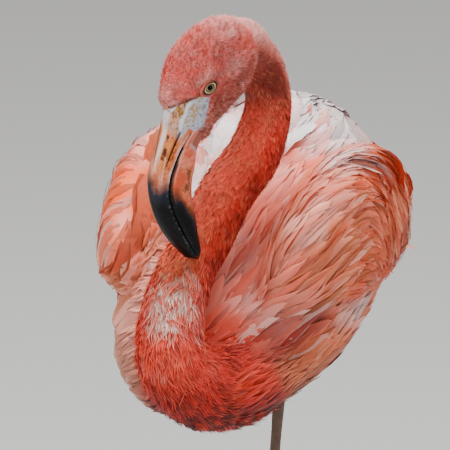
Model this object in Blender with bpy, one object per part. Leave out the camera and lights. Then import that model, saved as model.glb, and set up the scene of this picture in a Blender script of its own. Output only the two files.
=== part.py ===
"""Flamingo, life size, standing on its left leg and preening its lower neck.

Metres, +Z up.  The bird faces -Y and its left side is +X.  The origin is the
middle of the standing foot's sole.  Tables are in millimetres.
"""
import math

import bpy
from mathutils import Matrix, Vector

for old in list(bpy.data.objects):
    bpy.data.objects.remove(old, do_unlink=True)

MM = 0.001
GAP = 0.4            # clearance left where two solids meet, mm
CUT_GROW = 0.4       # how much a neighbour is grown before it is cut away, mm

# ---------------------------------------------------------------- driving sizes
BODY_SHIFT_Y = -28.0   # moves trunk, wings, tail, neck and head over the sole, mm
BODY_SHIFT_X = -2.0

TRUNK_SIDES = 26
# along the bird: y, lowest z, highest z, half width
TRUNK = [
    (-168, 584, 630, 26),
    (-148, 563, 652, 50),
    (-115, 549, 674, 70),
    (-70, 539, 702, 84),
    (-10, 534, 744, 92),
    (50, 535, 765, 93),
    (110, 543, 759, 84),
    (165, 561, 736, 67),
    (215, 588, 706, 46),
    (255, 614, 682, 26),
]
TRUNK_NOSE, TRUNK_RUMP = -178, 270       # where the two ends close, y
TRUNK_SQUARE = 2.15                      # 2 is an ellipse, more is boxier

WING_SIDES = 20
# y, middle x, middle z, half thickness, half height
WING = [
    (-116, 64, 676, 12, 20),
    (-92, 71, 681, 22, 37),
    (-48, 76, 686, 29, 53),
    (5, 79, 686, 32, 61),
    (70, 78, 677, 31, 60),
    (130, 69, 660, 27, 46),
    (185, 54, 650, 22, 36),
    (230, 42, 643, 17, 28),
    (258, 35, 637, 11, 17),
]
WING_SHOULDER, WING_END = -125, 270
WING_SQUARE = 2.4

WING_TIP_SIDES = 12
# y, middle x, middle z, half thickness, half height
WING_TIP = [(232, 26, 640, 9, 20), (262, 23, 628, 8, 18), (290, 19, 615, 6, 13),
            (314, 16, 604, 3, 6)]

TAIL_SIDES = 16
# y, middle z, half width, half height
TAIL = [(225, 622, 30, 15), (258, 605, 29, 9), (290, 590, 26, 5), (318, 577, 19, 2.2)]

NECK_SIDES = 20
# x, y, z, radius; from the breast, round the low bend, up and over to the nape
NECK = [
    (28, -58, 594, 46),
    (33, -112, 596, 42),
    (27, -165, 603, 36),
    (16, -192, 621, 31),
    (8, -195, 645, 28),
    (5, -176, 669, 25.5),
    (6.5, -150, 691.5, 23.5),
    (13, -124, 714, 23.5),
    (21, -99.5, 740, 23),
    (34, -76.5, 764, 22),
    (38, -58, 793, 19),
    (35, -52, 812, 18),
    (32, -58, 830, 17.8),
    (31, -77, 845, 18),
    (34, -99, 857, 18.8),
    (37, -120, 864, 19.8),
    (35, -140, 862, 20.5),
]
NECK_CUTS = [0, 2, 5, 8, 11, 16]         # which rows end one length and start the next
NECK_NAMES = ["neck_base", "neck_bend", "neck_middle", "neck_upper", "neck_arch"]
NECK_STEPS = 3                           # rings between two rows

HEAD_AT = (21, -164.5, 846)                # point between the eyes
HEAD_TURN, HEAD_NOD, HEAD_TILT = 47.0, 38.0, 0.5     # degrees: right, down, left side up
HEAD_SIDES = 20
# in the head's own axes: forward, lowest, highest, half width
HEAD = [
    (-50, -8, 19, 10.5),
    (-44, -17, 26, 15.5),
    (-32, -26, 32.5, 19.5),
    (-16, -31.5, 35, 21),
    (0, -33.5, 34, 21),
    (12, -35, 29.5, 19.5),
    (24, -36.5, 19.5, 16.3),
    (31, -37.3, 10, 13.8),
    (34, -37.6, 5, 12.8),
]
HEAD_BACK = -53

EYE_OUT, EYE_RADIUS = 16.2, 6.2          # eyeball centre from the middle plane, its radius

BILL_SIDES = 14
# forward and up of the ridge, the closed edge and the chin, then the half
# width at the closed edge and how far the upper and lower sides bulge
BILL = [
    # ridge         edge           chin          half width
    (34.4, 1.0, 34.4, -22.0, 34.4, -39.5, 12.5),
    (50.0, -9.0, 46.0, -25.8, 40.0, -45.0, 12.5),
    (63.0, -19.0, 57.0, -31.5, 45.5, -50.5, 12.4),
    (75.0, -29.5, 67.0, -38.5, 51.5, -55.5, 12.0),
    (84.5, -42.0, 75.0, -48.0, 57.0, -61.5, 11.6),
    (91.5, -57.5, 80.5, -61.5, 62.6, -69.6, 10.8),
    (95.0, -73.0, 84.0, -76.3, 68.5, -81.0, 9.6),
    (95.5, -88.5, 86.5, -91.3, 76.0, -94.0, 8.0),
    (93.5, -100.0, 88.0, -101.5, 82.0, -103.0, 6.0),
]
BILL_TIP = (88.5, -109.0)                # the upper half hooks over the lower

LEG_SIDES = 12
SHANK_RADIUS, ANKLE_RADIUS, TARSUS_RADIUS = 4.8, 10.5, 4.6
KNEE_LEFT = (33, -44, 562)                 # where the standing leg enters the belly
ANKLE_LEFT = (-7, 24, 330)
HEEL_LEFT = (0, 29, 10.4)                  # lower end of the standing tarsus
KNEE_RIGHT = (-46, 60, 590)
ANKLE_RIGHT = (-40, 250, 508)
HEEL_RIGHT = (-36, -42, 526)             # far end of the tucked tarsus

FOLD_DROP = 10                           # the folded tarsus starts under the ankle, mm

TOE_LENGTH, SIDE_TOE_LENGTH = 84, 76
TOE_HALF_WIDTH, TOE_HEIGHT, PAD_HEIGHT = 4.8, 8.0, 10.0
TOE_SPREAD_DOWN, TOE_SPREAD_TUCKED = 27.0, 17.0      # degrees between toes
WEB_THICK, WEB_REACH = 1.7, 0.74                     # web, and how far it runs out
HIND_TOE_LENGTH = 12
# along a toe: share of its length, width share, height share
TOE_ROWS = [(0.30, 1.0, 1.0), (0.42, 1.06, 0.95), (0.60, 0.9, 0.75), (0.70, 0.98, 0.78),
            (0.88, 0.72, 0.58), (1.0, 0.34, 0.28)]

# ---------------------------------------------------------------- materials
COLOURS = {
    "body_plumage": (0.86, 0.42, 0.36),
    "wing_plumage": (0.90, 0.45, 0.33),
    "neck_plumage": (0.80, 0.22, 0.14),
    "head_plumage": (0.78, 0.27, 0.24),
    "flight_feathers": (0.03, 0.03, 0.035),
    "bill_horn": (0.85, 0.55, 0.42),
    "eye_iris": (0.85, 0.78, 0.40),
    "leg_skin": (0.45, 0.33, 0.29),
}
ROUGHNESS = {"bill_horn": 0.35, "eye_iris": 0.08, "leg_skin": 0.6}


def material(slot):
    found = bpy.data.materials.get(slot)
    if found:
        return found
    made = bpy.data.materials.new(slot)
    made.use_nodes = True
    shader = made.node_tree.nodes["Principled BSDF"]
    shader.inputs["Base Color"].default_value = (*COLOURS[slot], 1.0)
    shader.inputs["Roughness"].default_value = ROUGHNESS.get(slot, 0.85)
    return made


# ---------------------------------------------------------------- collections
bird = bpy.data.collections.new("flamingo")
cutters = bpy.data.collections.new("cutters")
bpy.context.scene.collection.children.link(bird)
bpy.context.scene.collection.children.link(cutters)


# ---------------------------------------------------------------- helpers
def spline(rows, steps):
    """Rows of numbers with `steps` smooth rows put in place of each interval."""
    out = []
    last = len(rows) - 1
    for i in range(last):
        a, b = rows[max(i - 1, 0)], rows[i]
        c, d = rows[i + 1], rows[min(i + 2, last)]
        for k in range(steps):
            t = k / steps
            out.append(tuple(
                0.5 * (2 * q + (r - p) * t + (2 * p - 5 * q + 4 * r - s) * t * t
                       + (3 * q - p - 3 * r + s) * t ** 3)
                for p, q, r, s in zip(a, b, c, d)))
    out.append(tuple(rows[last]))
    return out


def loft(name, rings, slot, home, start=None, end=None):
    """Closed body through rings of equal count; a point or a flat closes each end."""
    count = len(rings[0])
    verts = [tuple(p) for ring in rings for p in ring]
    faces = []
    for r in range(len(rings) - 1):
        a, b = r * count, (r + 1) * count
        for k in range(count):
            n = (k + 1) % count
            faces.append((a + k, a + n, b + n, b + k))
    if start is None:
        faces.append(tuple(reversed(range(count))))
    else:
        verts.append(tuple(start))
        faces += [((k + 1) % count, k, len(verts) - 1) for k in range(count)]
    top = (len(rings) - 1) * count
    if end is None:
        faces.append(tuple(range(top, top + count)))
    else:
        verts.append(tuple(end))
        faces += [(top + k, top + (k + 1) % count, len(verts) - 1) for k in range(count)]
    return solid(name, verts, faces, slot, home)


def solid(name, verts, faces, slot, home):
    """Object from points in millimetres, its faces turned outward."""
    mesh = bpy.data.meshes.new(name)
    mesh.from_pydata([tuple(c * MM for c in v) for v in verts], [], faces)
    mesh.materials.append(material(slot))
    made = bpy.data.objects.new(name, mesh)
    home.objects.link(made)
    volume = sum(mesh.vertices[p.vertices[0]].co.dot(
        (mesh.vertices[p.vertices[i]].co).cross(mesh.vertices[p.vertices[i + 1]].co))
        for p in mesh.polygons for i in range(1, len(p.vertices) - 1))
    if volume < 0:
        mesh.flip_normals()
    if home is cutters:
        made.hide_render = True
        made.display_type = "WIRE"
    return made


def bend_power(value, power):
    return math.copysign(abs(value) ** (2.0 / power), value)


def oval(sides, half_u, half_v, power=2.0):
    """Points round a superellipse, as (u, v) pairs."""
    out = []
    for k in range(sides):
        t = 2 * math.pi * (k + 0.5) / sides
        out.append((half_u * bend_power(math.cos(t), power),
                    half_v * bend_power(math.sin(t), power)))
    return out


def arch(sides, half_width, height):
    """Half-round section standing on a flat edge, as (across, up) pairs."""
    out = []
    for k in range(sides):
        t = math.pi * k / (sides - 1)
        out.append((half_width * math.cos(t), height * max(math.sin(t), 0.0) ** 0.85))
    return out


def frames(path):
    """A level-carried frame (side, up) at each point of a path."""
    points = [Vector(p[:3]) for p in path]
    side = None
    out = []
    for i, here in enumerate(points):
        before, after = points[max(i - 1, 0)], points[min(i + 1, len(points) - 1)]
        along = (after - before).normalized()
        if side is None:
            side = Vector((1, 0, 0))
        side = (side - along * side.dot(along)).normalized()
        out.append((here, along, side, along.cross(side)))
    return out


def tube(name, path, sides, slot, home, flat=1.0, grow=0.0, start=None, end=None):
    """Round body along rows of x, y, z, radius."""
    rings = []
    for row, (here, along, side, up) in zip(path, frames(path)):
        radius = row[3] + grow
        rings.append([here + side * u * flat + up * v
                      for u, v in oval(sides, radius, radius)])
    return loft(name, rings, slot, home, start, end)


def cut(target, tool):
    change = target.modifiers.new("cut " + tool.name, "BOOLEAN")
    change.operation = "DIFFERENCE"
    change.solver = "EXACT"
    change.object = tool


def shifted(rows, x_at, y_at):
    """Rows with the body's shift over the sole added to their x and y."""
    out = []
    for row in rows:
        row = list(row)
        if x_at is not None:
            row[x_at] += BODY_SHIFT_X
        row[y_at] += BODY_SHIFT_Y
        out.append(tuple(row))
    return out


# ---------------------------------------------------------------- trunk
def trunk(name, slot, home, grow=0.0):
    rings = []
    for y, low, high, half in spline(shifted(TRUNK, None, 0), 2):
        mid = (low + high) / 2
        rings.append([(BODY_SHIFT_X + u, y, mid + v) for u, v in
                      oval(TRUNK_SIDES, half + grow, (high - low) / 2 + grow, TRUNK_SQUARE)])
    first, last = TRUNK[0], TRUNK[-1]
    nose = (BODY_SHIFT_X, TRUNK_NOSE - grow + BODY_SHIFT_Y, (first[1] + first[2]) / 2)
    rump = (BODY_SHIFT_X, TRUNK_RUMP + grow + BODY_SHIFT_Y, (last[1] + last[2]) / 2)
    return loft(name, rings, slot, home, nose, rump)


# ---------------------------------------------------------------- wings
def wing(name, side, slot, home, grow=0.0):
    rings = []
    for y, x, z, thick, tall in spline(shifted(WING, None, 0), 2):
        rings.append([(BODY_SHIFT_X + side * (x + u), y, z + v) for u, v in
                      oval(WING_SIDES, thick + grow, tall + grow, WING_SQUARE)])
    first, last = WING[0], WING[-1]
    front = (BODY_SHIFT_X + side * first[1], WING_SHOULDER - grow + BODY_SHIFT_Y, first[2])
    back = (BODY_SHIFT_X + side * last[1], WING_END + grow + BODY_SHIFT_Y, last[2])
    return loft(name, rings, slot, home, front, back)


def wing_tip(name, side, slot, home, grow=0.0):
    rings = []
    for y, x, z, thick, tall in spline(shifted(WING_TIP, None, 0), 2):
        rings.append([(BODY_SHIFT_X + side * (x + u), y, z + v) for u, v in
                      oval(WING_TIP_SIDES, thick + grow, tall + grow, 2.2)])
    last = WING_TIP[-1]
    point = (BODY_SHIFT_X + side * last[1], last[0] + 4 + grow + BODY_SHIFT_Y, last[2] - 2)
    return loft(name, rings, slot, home, None, point)


def tail(name, slot, home, grow=0.0):
    rings = []
    for y, z, half, tall in spline(shifted(TAIL, None, 0), 2):
        rings.append([(BODY_SHIFT_X + u, y, z + v) for u, v in
                      oval(TAIL_SIDES, half + grow, tall + grow, 2.3)])
    return loft(name, rings, slot, home)


# ---------------------------------------------------------------- neck
def neck_rows():
    return spline(shifted(NECK, 0, 1), NECK_STEPS)


def neck_length(index, slot, home):
    """One length of neck, set back from its neighbour by half the gap."""
    rows = neck_rows()
    first = NECK_CUTS[index] * NECK_STEPS
    last = NECK_CUTS[index + 1] * NECK_STEPS
    points = frames(rows)
    rings = []
    for i in range(first, last + 1):
        here, along, side, up = points[i]
        move = 0.0
        if i == first and index > 0:
            move = GAP / 2
        if i == last and index < len(NECK_NAMES) - 1:
            move = -GAP / 2
        here = here + along * move
        radius = rows[i][3]
        rings.append([here + side * u + up * v for u, v in oval(NECK_SIDES, radius, radius)])
    return loft(NECK_NAMES[index], rings, slot, home)


# ---------------------------------------------------------------- head
def head_axes():
    """Matrix from the head's own axes (forward, left, up) to the bird's."""
    turn, nod, tilt = (math.radians(v) for v in (HEAD_TURN, HEAD_NOD, HEAD_TILT))
    level = Vector((-math.sin(turn), -math.cos(turn), 0))
    left = Vector((math.cos(turn), -math.sin(turn), 0))
    forward = level * math.cos(nod) - Vector((0, 0, math.sin(nod)))
    up = forward.cross(left)
    left_t = left * math.cos(tilt) + up * math.sin(tilt)
    up_t = up * math.cos(tilt) - left * math.sin(tilt)
    place = Matrix((forward, left_t, up_t)).transposed().to_4x4()
    place.translation = Vector(HEAD_AT) + Vector((BODY_SHIFT_X, BODY_SHIFT_Y, 0))
    return place


def head(name, slot, home, grow=0.0):
    place = head_axes()
    rings = []
    for forward, low, high, half in spline(HEAD, 2):
        mid = (low + high) / 2
        rings.append([place @ Vector((forward, u, mid + v)) for u, v in
                      oval(HEAD_SIDES, half + grow, (high - low) / 2 + grow, 2.1)])
    first = HEAD[0]
    back = place @ Vector((HEAD_BACK - grow, 0, (first[1] + first[2]) / 2))
    return loft(name, rings, slot, home, back)


def eyeball(name, side, slot, home, grow=0.0):
    place = head_axes()
    radius = EYE_RADIUS + grow
    rings = []
    for k in range(1, 8):
        t = math.pi * k / 8
        rings.append([place @ Vector((u, side * (EYE_OUT - radius * math.cos(t)), v))
                      for u, v in oval(12, radius * math.sin(t), radius * math.sin(t))])
    inner = place @ Vector((0, side * (EYE_OUT - radius), 0))
    outer = place @ Vector((0, side * (EYE_OUT + radius), 0))
    return loft(name, rings, slot, home, inner, outer)


def bill_half(name, upper, slot, home):
    """Upper or lower half of the bill; both stand on the same closed edge."""
    place = head_axes()
    rings = []
    for ridge_f, ridge_u, edge_f, edge_u, chin_f, chin_u, half in BILL:
        edge = Vector((edge_f, 0, edge_u))
        far = Vector((ridge_f, 0, ridge_u)) if upper else Vector((chin_f, 0, chin_u))
        up = (far - edge).normalized()
        tall = (far - edge).length
        if not upper:
            edge = edge + up * GAP
            tall -= GAP
        rings.append([place @ (edge + Vector((0, across, 0)) + up * rise)
                      for across, rise in arch(BILL_SIDES, half, tall)])
    if upper:
        end = place @ Vector((BILL_TIP[0], 0, BILL_TIP[1]))
        return loft(name, rings, slot, home, None, end)
    return loft(name, rings, slot, home)


# ---------------------------------------------------------------- legs
def shank(name, knee, ankle, slot, home, grow=0.0):
    """Leg bone from the belly to the ankle, with the swollen joint at its end."""
    top, foot = Vector(knee), Vector(ankle)
    down = (foot - top).normalized()
    length = (foot - top).length
    rows = []
    for where, radius in ((0, SHANK_RADIUS + 1.5), (60, SHANK_RADIUS + 0.2),
                          (length - 60, SHANK_RADIUS), (length - 26, SHANK_RADIUS + 1.2),
                          (length - 12, ANKLE_RADIUS * 0.86), (length - 2, ANKLE_RADIUS),
                          (length + 6, ANKLE_RADIUS * 0.84)):
        rows.append((*(top + down * where), radius))
    if grow:
        rows.append((*(top + down * (length + 6 + grow)), ANKLE_RADIUS * 0.84))
    return tube(name, rows, LEG_SIDES, slot, home, flat=0.85, grow=grow)


def tarsus(name, ankle, heel, slot, home):
    """From below the ankle to above the foot."""
    top, foot = Vector(ankle), Vector(heel)
    down = (foot - top).normalized()
    length = (foot - top).length
    rows = []
    for where, radius in ((2, ANKLE_RADIUS * 0.8), (12, ANKLE_RADIUS * 0.80),
                          (28, TARSUS_RADIUS + 1.6), (60, TARSUS_RADIUS),
                          (length - 50, TARSUS_RADIUS), (length - 12, TARSUS_RADIUS + 1.2),
                          (length, TARSUS_RADIUS + 1.6)):
        rows.append((*(top + down * where), radius))
    return tube(name, rows, LEG_SIDES, slot, home, flat=0.85)


def slab(name, tops, floor, place, slot, home):
    """Flat-bottomed body under a grid of (x, y, height) points, rows then columns."""
    rows, cols = len(tops), len(tops[0])
    verts = [place @ Vector((x, y, z)) for row in tops for x, y, z in row]
    verts += [place @ Vector((x, y, floor)) for row in tops for x, y, z in row]
    under = rows * cols
    faces = []
    for r in range(rows - 1):
        for c in range(cols - 1):
            a, b = r * cols + c, r * cols + c + 1
            d, e = a + cols, b + cols
            faces.append((a, b, e, d))
            faces.append((under + a, under + d, under + e, under + b))
    rim = [c for c in range(cols)]
    rim += [r * cols + cols - 1 for r in range(1, rows)]
    rim += [(rows - 1) * cols + c for c in range(cols - 2, -1, -1)]
    rim += [r * cols for r in range(rows - 2, 0, -1)]
    for here, there in zip(rim, rim[1:] + rim[:1]):
        faces.append((there, here, under + here, under + there))
    return solid(name, verts, faces, slot, home)


def foot(name, place, spread, slim, slot):
    """Webbed foot, sole down, toes towards -Y, the ankle joint over the origin."""
    # each column: toe angle, offset from the toe's line, height share, reach
    columns = []
    for turn, length in ((-spread, SIDE_TOE_LENGTH), (0.0, TOE_LENGTH),
                         (spread, SIDE_TOE_LENGTH)):
        for across, tall, reach in ((-1.0, 0.3, 0.90), (-0.6, 0.85, 0.97), (0.0, 1.0, 1.0),
                                    (0.6, 0.85, 0.97), (1.0, 0.3, 0.90)):
            columns.append((turn, across * TOE_HALF_WIDTH * slim, tall, reach * length))
        if turn < spread:
            middle = turn + spread / 2
            columns.append((middle, 0.0, 0.0, WEB_REACH * TOE_LENGTH))
    last = len(columns) - 1
    tops = []
    # behind and under the ankle joint: y, half width, height
    for y, half, tall in ((HIND_TOE_LENGTH + 9, 1.6, 3.0), (HIND_TOE_LENGTH, 3.6, 5.0),
                          (6, 7.0, PAD_HEIGHT), (-5, 7.6, PAD_HEIGHT)):
        tops.append([(half * slim * (2 * k / last - 1), y,
                      tall * (0.45 if k in (0, last) else 1.0))
                     for k in range(last + 1)])
    for share, wide, tall in TOE_ROWS:
        row = []
        for turn, across, column_tall, reach in columns:
            t = math.radians(turn)
            x = math.sin(t) * reach * share + math.cos(t) * across * wide
            y = -math.cos(t) * reach * share + math.sin(t) * across * wide
            row.append((x, y, max(TOE_HEIGHT * tall * column_tall, WEB_THICK)))
        tops.append(row)
    return slab(name, tops, 0.0, place, slot, bird)


# ---------------------------------------------------------------- build
trunk_cut = trunk("trunk_cut", "body_plumage", cutters, CUT_GROW)
head_cut = head("head_cut", "head_plumage", cutters, CUT_GROW)
tail_cut = tail("tail_cut", "wing_plumage", cutters, CUT_GROW)

trunk("trunk", "body_plumage", bird)
rear = tail("tail", "wing_plumage", bird)
cut(rear, trunk_cut)
for side, word in ((1, "left"), (-1, "right")):
    folded = wing("wing_" + word, side, "wing_plumage", bird)
    cut(folded, trunk_cut)
    wing_cut = wing("wing_cut_" + word, side, "wing_plumage", cutters, CUT_GROW)
    cut(rear, wing_cut)
    tip = wing_tip("wing_tip_" + word, side, "flight_feathers", bird)
    for tool in (trunk_cut, wing_cut, tail_cut):
        cut(tip, tool)

for index in range(len(NECK_NAMES)):
    piece = neck_length(index, "neck_plumage", bird)
    if index < 2:
        cut(piece, trunk_cut)
    if index == len(NECK_NAMES) - 1:
        cut(piece, head_cut)

skull = head("head", "head_plumage", bird)
for side, word in ((1, "left"), (-1, "right")):
    eyeball("eye_" + word, side, "eye_iris", bird)
    cut(skull, eyeball("eye_cut_" + word, side, "eye_iris", cutters, CUT_GROW))
bill_half("bill_upper", True, "bill_horn", bird)
bill_half("bill_lower", False, "bill_horn", bird)

for word, knee, ankle, heel, drop in (
        ("left", KNEE_LEFT, ANKLE_LEFT, HEEL_LEFT, 0),
        ("right", KNEE_RIGHT, ANKLE_RIGHT, HEEL_RIGHT, FOLD_DROP)):
    thigh = shank("leg_" + word + "_shank", knee, ankle, "leg_skin", bird)
    cut(thigh, trunk_cut)
    start = (ankle[0], ankle[1], ankle[2] - drop)
    lower = tarsus("leg_" + word + "_tarsus", start, heel, "leg_skin", bird)
    cut(lower, shank("shank_cut_" + word, knee, ankle, "leg_skin", cutters, CUT_GROW))

standing = Matrix.Translation((HEEL_LEFT[0], HEEL_LEFT[1], 0))
foot("foot_left", standing, TOE_SPREAD_DOWN, 1.0, "leg_skin")
tucked = (Matrix.Translation((HEEL_RIGHT[0], HEEL_RIGHT[1] - 4, HEEL_RIGHT[2] - 7.4))
          @ Matrix.Rotation(math.radians(175), 4, "X"))
foot("foot_right", tucked, TOE_SPREAD_TUCKED, 0.66, "leg_skin")
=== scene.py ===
"""Looks of the life-size flamingo: skin, eyes, bill, legs and a coat of modelled feathers.

Metres, +Z up.  The bird faces -Y and its left side is +X.
"""
import math

import bmesh
import bpy
import numpy as np
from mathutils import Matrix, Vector
from mathutils.bvhtree import BVHTree


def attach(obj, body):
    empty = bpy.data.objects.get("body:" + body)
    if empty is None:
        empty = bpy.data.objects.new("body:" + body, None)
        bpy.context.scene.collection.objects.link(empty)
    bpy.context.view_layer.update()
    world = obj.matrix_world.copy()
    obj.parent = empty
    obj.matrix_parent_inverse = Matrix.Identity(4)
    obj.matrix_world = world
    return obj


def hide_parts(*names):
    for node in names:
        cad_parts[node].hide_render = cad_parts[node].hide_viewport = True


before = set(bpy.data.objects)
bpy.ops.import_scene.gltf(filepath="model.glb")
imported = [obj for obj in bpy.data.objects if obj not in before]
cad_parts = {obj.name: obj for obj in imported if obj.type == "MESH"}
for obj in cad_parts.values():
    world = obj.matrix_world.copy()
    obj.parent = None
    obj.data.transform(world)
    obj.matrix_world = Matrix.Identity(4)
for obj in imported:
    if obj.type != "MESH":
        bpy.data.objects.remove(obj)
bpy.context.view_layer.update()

# ---------------------------------------------------------------- sizes
MM = 0.001
SHIFT = np.array([-2.0, -28.0, 0.0])     # the body's shift over the sole, as in the CAD
SKIN_VOXEL = 2.2 * MM
SAME_PLACE = 0.01 * MM                   # points nearer than this count as one
FLESH = ["trunk", "wing_left", "wing_right", "neck_base", "neck_bend", "neck_middle",
         "neck_upper", "neck_arch", "head"]
BARE = ["leg_left_shank", "leg_left_tarsus", "leg_right_shank", "leg_right_tarsus",
        "foot_left", "foot_right"]

# middle line of the neck, from the breast round the low bend to the nape
NECK_LINE = [
    (28, -58, 594), (33, -112, 596), (27, -165, 603), (16, -192, 621), (8, -195, 645),
    (5, -176, 669), (6.5, -150, 691.5), (13, -124, 714), (21, -99.5, 740), (34, -76.5, 764),
    (38, -58, 793), (35, -52, 812), (32, -58, 830), (31, -77, 845), (34, -99, 857),
    (37, -120, 864), (35, -140, 862),
]
NAPE = len(NECK_LINE) - 1

HEAD_AT = np.array([21, -164.5, 846])
HEAD_TURN, HEAD_NOD, HEAD_TILT = 47.0, 38.0, 0.5
EYE_OUT, EYE_RADIUS = 16.2, 6.2

# forward and up of the ridge, the closed edge and the chin, then the half width
BILL = [
    (34.4, 1.0, 34.4, -22.0, 34.4, -39.5, 12.5),
    (49.0, -10.5, 46.0, -25.8, 40.0, -45.0, 12.5),
    (62.2, -20.2, 57.0, -31.5, 45.5, -50.5, 12.4),
    (75.0, -29.5, 67.0, -38.5, 51.5, -55.5, 12.0),
    (84.5, -42.0, 75.0, -48.0, 57.0, -61.5, 11.6),
    (91.5, -57.5, 80.5, -61.5, 62.6, -69.6, 10.8),
    (95.0, -73.0, 84.0, -76.3, 68.5, -81.0, 9.6),
    (95.5, -88.5, 86.5, -91.3, 76.0, -94.0, 8.0),
    (94.0, -102.0, 88.0, -103.5, 81.5, -105.0, 6.4),
]
CHIN_AT, CHIN_SIZE = np.array([23.5, 0, -29.5]), np.array([9.5, 10.5, 10.5])      # feathered chin
BILL_ROOT = (23.0, 4.0, 23.0, -20.0, 23.0, -34.0, 11.8)     # hidden inside the head
BILL_TIP = (87.8, -111.0)

KNEES = {"left": (33, -44, 562), "right": (-46, 60, 590)}
ANKLES = {"left": (-7, 24, 330), "right": (-40, 250, 508)}
HEELS = {"left": (0, 29, 10.4), "right": (-36, -42, 526)}
FOLD_DROP = {"left": 0, "right": 10}


# ---------------------------------------------------------------- numbers and fields
def paint(red, green, blue):
    """Linear colour from the 0 to 255 numbers of a paint chart."""
    chart = np.array([red, green, blue]) / 255
    return np.where(chart <= 0.04045, chart / 12.92, ((chart + 0.055) / 1.055) ** 2.4)


def ease(value, low, high):
    """0 at low, 1 at high, smooth between and level beyond."""
    t = np.clip((np.asarray(value, float) - low) / (high - low), 0, 1)
    return t * t * (3 - 2 * t)


def mix(a, b, share):
    """Rows of a blended into rows of b, one share for each row."""
    share = np.asarray(share)[..., None]
    return a * (1 - share) + b * share


def unit(vectors):
    return vectors / np.maximum(np.linalg.norm(vectors, axis=-1, keepdims=True), 1e-12)


def dot(a, b):
    return (a * b).sum(-1)


def hill(value, middle, width):
    """1 where the value is at the middle, falling smoothly to 0 on both sides."""
    return np.exp(-((value - middle) / width) ** 2)


def ring(count):
    """Angles of a full turn in equal steps."""
    return 2 * np.pi * np.arange(count) / count


def along_surface(vectors, normals):
    """The part of each vector that runs along the surface, at unit length."""
    return unit(vectors - normals * dot(vectors, normals)[..., None])


def noise(points, size, seed=0):
    """Smooth chance value from -1 to 1 at each point, in lumps about `size` wide."""
    p = points / size + seed * 17.31
    cell = np.floor(p)
    f = p - cell
    f = f * f * (3 - 2 * f)
    total = 0
    for corner in range(8):
        step = np.array([corner & 1, corner >> 1 & 1, corner >> 2 & 1])
        wave = np.sin((cell + step) @ np.array([12.9898, 78.233, 37.719])) * 43758.5453
        total = total + (2 * (wave - np.floor(wave)) - 1) * np.prod(np.where(step, f, 1 - f), axis=-1)
    return total


def spline(rows, steps):
    """Rows with `steps` smooth rows in place of each interval."""
    rows = np.asarray(rows, float)
    padded = np.vstack((rows[:1], rows, rows[-1:]))
    t = np.arange(steps)[:, None] / steps
    out = []
    for i in range(len(rows) - 1):
        a, b, c, d = padded[i:i + 4]
        out.append(0.5 * (2 * b + (c - a) * t + (2 * a - 5 * b + 4 * c - d) * t * t
                          + (3 * b - a - 3 * c + d) * t ** 3))
    out.append(rows[-1:])
    return np.vstack(out)


# ---------------------------------------------------------------- head and neck frames
def head_frame():
    """Rows: the head's forward, left and up, and its place between the eyes."""
    turn, nod, tilt = (math.radians(v) for v in (HEAD_TURN, HEAD_NOD, HEAD_TILT))
    level = np.array([-math.sin(turn), -math.cos(turn), 0])
    left = np.array([math.cos(turn), -math.sin(turn), 0])
    forward = level * math.cos(nod) - np.array([0, 0, math.sin(nod)])
    up = np.cross(forward, left)
    axes = np.array([forward, left * math.cos(tilt) + up * math.sin(tilt),
                     up * math.cos(tilt) - left * math.sin(tilt)])
    return axes, (HEAD_AT + SHIFT) * MM


HEAD_AXES, HEAD_PLACE = head_frame()


def from_head(points):
    """World places of points in the head's own millimetres."""
    return np.asarray(points, float) * MM @ HEAD_AXES + HEAD_PLACE


def to_head(points):
    """Points in the head's own axes and millimetres: forward, left, up."""
    return (points - HEAD_PLACE) @ HEAD_AXES.T / MM


def neck_frame():
    """Points along the neck line, with their direction, a side that never twists, and their place."""
    path = spline((np.array(NECK_LINE) + SHIFT) * MM, 12)
    along = unit(np.gradient(path, axis=0))
    sides = []
    side = np.array([1.0, 0, 0])
    for direction in along:
        side = side - direction * (side @ direction)
        side = side / np.linalg.norm(side)
        sides.append(side)
    return path, along, np.array(sides), np.linspace(0, NAPE, len(path))


NECK_PATH, NECK_ALONG, NECK_SIDE, NECK_T = neck_frame()


def on_neck(points):
    """Place along the neck line, its direction there, and the angle round it."""
    place = np.empty(len(points), int)
    for start in range(0, len(points), 4000):
        part = points[start:start + 4000]
        gap = ((part[:, None, :] - NECK_PATH[None]) ** 2).sum(-1)
        place[start:start + 4000] = gap.argmin(1)
    out = points - NECK_PATH[place]
    side = NECK_SIDE[place]
    over = np.cross(NECK_ALONG[place], side)
    return NECK_T[place], NECK_ALONG[place], np.arctan2(dot(out, over), dot(out, side))


# ---------------------------------------------------------------- mesh makers
def finish_object(name, data):
    """A new object in the scene, at the origin."""
    made = bpy.data.objects.new(name, data)
    bpy.context.scene.collection.objects.link(made)
    return made


def quad_mesh(name, points, quads):
    """Smooth-shaded mesh from an array of points and an array of four-sided faces."""
    mesh = bpy.data.meshes.new(name)
    mesh.vertices.add(len(points))
    mesh.vertices.foreach_set("co", np.asarray(points, np.float32).ravel())
    mesh.loops.add(quads.size)
    mesh.loops.foreach_set("vertex_index", quads.astype(np.int32).ravel())
    mesh.polygons.add(len(quads))
    mesh.polygons.foreach_set("loop_start", np.arange(0, quads.size, 4, dtype=np.int32))
    mesh.update(calc_edges=True)
    mesh.shade_smooth()
    return mesh


def grid_quads(rows, columns, closed=False):
    """Faces of a grid of points numbered row by row; closed joins its last column on."""
    r, c = np.meshgrid(np.arange(rows - 1), np.arange(columns if closed else columns - 1),
                       indexing="ij")
    n = (c + 1) % columns
    return np.stack((r * columns + c, r * columns + n, (r + 1) * columns + n,
                     (r + 1) * columns + c), -1).reshape(-1, 4)


def read_points(mesh):
    points = np.empty(len(mesh.vertices) * 3, np.float32)
    mesh.vertices.foreach_get("co", points)
    return points.reshape(-1, 3).astype(float)


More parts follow.
